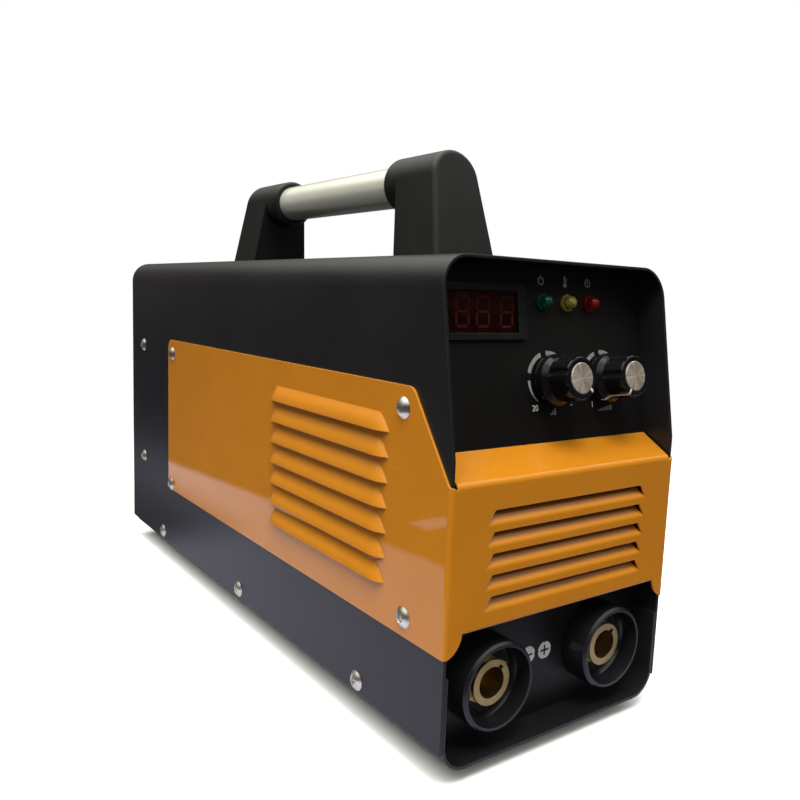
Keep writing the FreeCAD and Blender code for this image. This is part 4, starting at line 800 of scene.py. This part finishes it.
def vent_flap():
    """One lanced flap, bent inwards along its lower edge, in the face's plane at height 0."""
    points = []
    radius, most = 2.4, 0.64
    turned = radius * most
    steps = [turned * i / 6 for i in range(7)] + [turned + (VENT_RISE - turned) * i / 4 for i in range(1,
                                                                                                       5)]
    for t in steps:
        angle = min(t / radius, most)
        past = max(0.0, t - turned)
        depth = radius * (1 - math.cos(angle)) + past * math.sin(most)
        rise = radius * math.sin(angle) + past * math.cos(most)
        half = VENT_HALF_LOW + (VENT_HALF_TOP - VENT_HALF_LOW) * t / VENT_RISE
        for c in range(VENT_COLUMNS + 1):
            points.append((half * (2 * c / VENT_COLUMNS - 1), FACE_Y + depth, rise))
    wide = VENT_COLUMNS + 1
    faces = [(j * wide + i, j * wide + i + 1, (j + 1) * wide + i + 1, (j + 1) * wide + i)
             for j in range(len(steps) - 1) for i in range(wide - 1)]
    return points, faces


def front_face_sheet():
    """The face between its bends, with a hole for each vent."""
    tabs = [57.5, 57.6, 57.9, 58.4, 59.1, 60.0, 61.0, 62.0, 63.0, 64.0]
    ring = [(s, tab_edge(s)) for s in tabs] + [(64.0, 120.2), (63.3, 119.8), (62.6, 119.29)]
    ring += [(-u, v) for u, v in reversed(ring)]
    rings = [ring]
    for i in range(VENTS):
        low = VENT_TOP - i * VENT_PITCH - VENT_RISE
        hole = [(VENT_HALF_LOW * (2 * c / VENT_COLUMNS - 1), low) for c in range(VENT_COLUMNS + 1)]
        rings.append(hole + [(VENT_HALF_TOP, low + VENT_RISE), (-VENT_HALF_TOP, low + VENT_RISE)])
    faces = tessellate_polygon([[Vector((u, v, 0)) for u, v in ring] for ring in rings])
    return [(u, FACE_Y, v) for ring in rings for u, v in ring], faces


def corner_bend(side):
    points = []
    tops = (120.2, 120.35, 120.45, 120.5, 120.55, 120.7, 121.1)
    for k in range(7):
        angle = math.pi / 2 * k / 6
        x = GUARD_X - BEND + BEND * math.sin(angle)
        y = FACE_Y + BEND - BEND * math.cos(angle)
        low = tab_edge(64.0 + BEND * angle)
        points += [(side * x, y, low), (side * x, y, tops[k])]
    return points, [(2 * k, 2 * k + 2, 2 * k + 3, 2 * k + 1) for k in range(6)]


def swept(path, half):
    points = [(s * half, y, z) for y, z in path for s in (-1, 1)]
    return points, [(2 * i, 2 * i + 1, 2 * i + 3, 2 * i + 2) for i in range(len(path) - 1)]


guard_orange = finish("guard_orange", (0.56, 0.205, 0.011), (0.53, 0.193, 0.010), (0.02, 0.04), 38.0, 300.0,
                      0.0000012, edge=(0.80, 0.38, 0.08), edge_radius=0.0004, wave=36.0)
shade_tree = guard_orange.node_tree
shader = shader_in(shade_tree)
# Painted shade: the flaps behind the face, inside the five vents, are painted a dark orange-brown that
# deepens with their depth behind it.
inside = add(shade_tree, "ShaderNodeSeparateXYZ", None,
             {0: add(shade_tree, "ShaderNodeTexCoord").outputs["Object"]}).outputs
breadth = math_node(shade_tree, "ABSOLUTE", inside["X"])
painted_vent_shade = math_node(shade_tree, "MULTIPLY", ramp(shade_tree, inside["Y"], -0.1898, -0.1868),
                   ramp(shade_tree, breadth, 0.050, 0.052, 1.0, 0.0))
painted_vent_shade = math_node(shade_tree, "MULTIPLY", painted_vent_shade, ramp(shade_tree, inside["Z"], 0.112, 0.114, 1.0, 0.0))
enamel = shader.inputs["Base Color"].links[0].from_socket
shade_tree.links.new(blend_colours(shade_tree, painted_vent_shade, enamel, (0.165, 0.048, 0.004, 1)),
                     shader.inputs["Base Color"])
slope_path = rounded([(FACE_Y, 100.0, 0), (FACE_Y, 121.0, 3.0), (-174.7, 130.0, 0)])[1:]
lip_path = rounded([(FACE_Y, 80.0, 0), (FACE_Y, 62.4, 1.5), (-185.9, 62.4, 0)])[1:]
points, faces = [], []
for part_points, part_faces in (front_face_sheet(), side_plate(-1), side_plate(1), corner_bend(-1),
                                corner_bend(1), swept(slope_path, 62.6), swept(lip_path, 57.5)):
    start = len(points)
    points += part_points
    faces += [tuple(start + i for i in face) for face in part_faces]


def row_of_pressings():
    """Repeats one pressing in a row, and joins the row to the sheet that it is pressed in."""
    tree = bpy.data.node_groups.new("row_of_pressings", "GeometryNodeTree")
    for label, kind in (("Sheet", "Geometry"), ("Pressing", "Object"), ("Count", "Int"),
                        ("First", "Vector"), ("Step", "Vector"), ("Finish", "Material")):
        tree.interface.new_socket(label, in_out="INPUT", socket_type="NodeSocket" + kind)
    tree.interface.new_socket("Sheet", in_out="OUTPUT", socket_type="NodeSocketGeometry")
    given = add(tree, "NodeGroupInput").outputs
    row = add(tree, "GeometryNodeMeshLine", {"mode": "OFFSET"},
              {"Count": given["Count"], "Start Location": given["First"], "Offset": given["Step"]})
    pressing = add(tree, "GeometryNodeObjectInfo", None, {"Object": given["Pressing"]})
    copies = add(tree, "GeometryNodeInstanceOnPoints", None,
                 {"Points": row.outputs[0], "Instance": pressing.outputs["Geometry"]})
    joined = add(tree, "GeometryNodeJoinGeometry", None, {0: given["Sheet"]})
    tree.links.new(copies.outputs[0], joined.inputs[0])
    real = add(tree, "GeometryNodeRealizeInstances", None, {0: joined.outputs[0]})
    welded = add(tree, "GeometryNodeMergeByDistance", None, {0: real.outputs[0], "Distance": 0.00001})
    painted = add(tree, "GeometryNodeSetMaterial", None,
                  {0: welded.outputs[0], "Material": given["Finish"]})
    add(tree, "NodeGroupOutput", None, {0: painted.outputs[0]})
    return tree


def grow(made, tree, values):
    """Adds a node tree to an object with these inputs."""
    modifier = made.modifiers.new(tree.name, "NODES")
    modifier.node_group = tree
    for label, value in values.items():
        modifier[tree.interface.items_tree[label].identifier] = value
    return made


def settle(made):
    """Turns what the modifiers give into the object's plain mesh."""
    ready = made.evaluated_get(bpy.context.evaluated_depsgraph_get())
    mesh = bpy.data.meshes.new_from_object(ready)
    made.modifiers.clear()
    made.data = mesh
    return made


guard = loose_object("wrap_round_guard", points, faces)
pressings = [loose_object("left_pressing", *side_pressing(-1)),
             loose_object("right_pressing", *side_pressing(1)),
             loose_object("vent_pressing", *vent_flap())]
rows = row_of_pressings()
for pressing, count, low, pitch in ((pressings[0], PRESSES, PRESS_LOW, PRESS_PITCH),
                                    (pressings[1], PRESSES, PRESS_LOW, PRESS_PITCH),
                                    (pressings[2], VENTS, VENT_TOP - VENT_RISE, VENT_PITCH)):
    grow(guard, rows, {"Pressing": pressing, "Count": count, "First": (0.0, 0.0, low / 1000),
                       "Step": (0.0, 0.0, -pitch / 1000), "Finish": guard_orange})
settle(guard)
for pressing in pressings:
    bpy.data.objects.remove(pressing)
shell = bmesh.new()
shell.from_mesh(guard.data)
bmesh.ops.remove_doubles(shell, verts=shell.verts, dist=0.00001)
bmesh.ops.recalc_face_normals(shell, faces=shell.faces)
outside = max(shell.faces, key=lambda f: f.calc_area())
if outside.normal.x * outside.calc_center_median().x < 0:
    bmesh.ops.reverse_faces(shell, faces=shell.faces)
shell.to_mesh(guard.data)
shell.free()
wall = guard.modifiers.new("sheet", "SOLIDIFY")
wall.thickness = 0.00095
wall.offset = -1.0
softened = guard.modifiers.new("edges", "BEVEL")
softened.width = 0.00025
softened.segments = 2
softened.limit_method = "ANGLE"
softened.angle_limit = math.radians(55)
settle(guard)
guard.data.shade_smooth()
guard.data.set_sharp_from_angle(angle=math.radians(40))
even = guard.modifiers.new("flats_stay_flat", "WEIGHTED_NORMAL")
even.keep_sharp = True
even.weight = 90
settle(guard)
fitted(guard, guard_orange, "guard_orange", "case", ("front_guard",))

# ---- Case screws ---------------------------------------------------------------------------
# Zinc-plated cross-recess screws with truss heads hold the guard and the cover. Each is turned to
# wherever its thread went tight.
HEAD_R, HEAD_H = 4.5, 2.2


def screw_head():
    """A domed head on x = 0, its cross cut in by two wedge-shaped blades."""
    ball = (HEAD_R ** 2 + HEAD_H ** 2) / (2 * HEAD_H)
    rings = [(-1.2, 1.9), (0.0, 1.9), (0.0, HEAD_R - 0.15), (0.12, HEAD_R)]
    for i in range(1, 9):
        lift = 0.12 + (HEAD_H - 0.12) * math.sin(math.pi / 2 * i / 9)
        rings.append((lift, math.sqrt(max(0.0, ball ** 2 - (lift + ball - HEAD_H) ** 2))))
    rings.append((HEAD_H, 0.25))
    skin = [(out, lambda turn, r=r: r) for out, r in rings]
    head = loose_object("screw_head", *lathe(skin, 40, lambda u, v, out: (out, u, v)))
    tidy_shell(head, 40.0)
    for turn in (0, 1):
        top, low = (2.8, 0.62), (1.5, 0.40)
        points = []
        for out, (long, wide) in ((HEAD_H + 0.6, top), (HEAD_H - 1.3, low)):
            for a, b in ((-1, -1), (1, -1), (1, 1), (-1, 1)):
                u, v = (a * long, b * wide) if turn else (a * wide, b * long)
                points.append((out, u, v))
        faces = [(0, 1, 2, 3), (7, 6, 5, 4), (0, 4, 5, 1), (1, 5, 6, 2), (2, 6, 7, 3), (3, 7, 4, 0)]
        blade = loose_object("recess_blade", points, faces)
        tidy_shell(blade, 40.0)
        cut = head.modifiers.new("recess", "BOOLEAN")
        cut.operation = "DIFFERENCE"
        cut.object = blade
        settle(head)
        bpy.data.objects.remove(blade)
    return head


def screws_on_seats():
    """Puts a copy of one screw on each point of the seats, turned by the point's own attribute."""
    tree = bpy.data.node_groups.new("screws_on_seats", "GeometryNodeTree")
    for label, kind in (("Seats", "Geometry"), ("Screw", "Object"), ("Finish", "Material")):
        tree.interface.new_socket(label, in_out="INPUT", socket_type="NodeSocket" + kind)
    tree.interface.new_socket("Screws", in_out="OUTPUT", socket_type="NodeSocketGeometry")
    given = add(tree, "NodeGroupInput").outputs
    turn = add(tree, "GeometryNodeInputNamedAttribute", {"data_type": "FLOAT_VECTOR"}, {"Name": "turn"})
    facing = add(tree, "FunctionNodeEulerToRotation", None, {0: turn.outputs[0]})
    screw = add(tree, "GeometryNodeObjectInfo", None, {"Object": given["Screw"]})
    copies = add(tree, "GeometryNodeInstanceOnPoints", None,
                 {"Points": given["Seats"], "Instance": screw.outputs["Geometry"],
                  "Rotation": facing.outputs[0]})
    real = add(tree, "GeometryNodeRealizeInstances", None, {0: copies.outputs[0]})
    painted = add(tree, "GeometryNodeSetMaterial", None, {0: real.outputs[0], "Material": given["Finish"]})
    add(tree, "NodeGroupOutput", None, {0: painted.outputs[0]})
    return tree


SCREW_TREE = screws_on_seats()


def screw_set(name, seats, screw, replaced):
    """Seats are (place in millimetres, turn about X, Y and Z in degrees)."""
    holder = loose_object(name, [place for place, turn in seats], [])
    turns = holder.data.attributes.new("turn", "FLOAT_VECTOR", "POINT")
    for i, (place, turn) in enumerate(seats):
        turns.data[i].vector = [math.radians(a) for a in turn]
    grow(holder, SCREW_TREE, {"Screw": screw, "Finish": screw_zinc})
    settle(holder)
    holder.data.shade_smooth()
    holder.data.set_sharp_from_angle(angle=math.radians(40))
    fitted(holder, screw_zinc, "zinc_steel", "case", (replaced,))


screw_zinc = finish("screw_zinc", (0.86, 0.84, 0.74), (0.68, 0.66, 0.56), (0.24, 0.40), 300.0, 700.0,
                    0.00001, Metallic=1.0)
case_screw = screw_head()
guard_seats = ((102.0, 146.0), (104.0, 58.0), (-158.4, 146.0), (-163.5, 62.0))
cover_seats = ((-129.5, 20.0), (-4.0, 20.0), (123.0, 20.0), (163.5, 66.0), (163.5, 147.6))
for name, seats, seat_x, replaced in (("guard_screw_set", guard_seats, 66.0, "guard_screws"),
                                      ("cover_screw_set", cover_seats, 65.0, "cover_screws")):
    placed = []
    for i, (y, z) in enumerate(seats):
        placed.append(((seat_x, y, z), (17.0 + 31.0 * i, 0, 0)))
        placed.append(((-seat_x, y, z), (11.0 + 47.0 * i, 0, 180)))
    screw_set(name, placed, case_screw, replaced)
bpy.data.objects.remove(case_screw)

# ---- Handle --------------------------------------------------------------------------------
# Two moulded posts bolted to the cover from inside, and a chromed steel tube that seats in the
# rounded head of each.
handle_black = finish("handle_black", (0.0100, 0.0100, 0.0098), (0.0070, 0.0070, 0.0068), (0.36, 0.48),
                      30.0, 1100.0, 0.00001, Specular_IOR_Level=0.36)
grip_chrome = finish("grip_chrome", (0.98, 1.0, 0.89), (0.93, 0.92, 0.80), (0.10, 0.18), 12.0, 500.0,
                     0.000001, Metallic=0.55)
dress(handle_black, "handle_post_front", "handle_post_rear")
dress(grip_chrome, "handle_tube")

# ---- Sizes ---------------------------------------------------------------------------------
# The CAD model's box and this model's box, kept side by side.
[[list(corner) for corner in box] for box in (cad_box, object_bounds())]
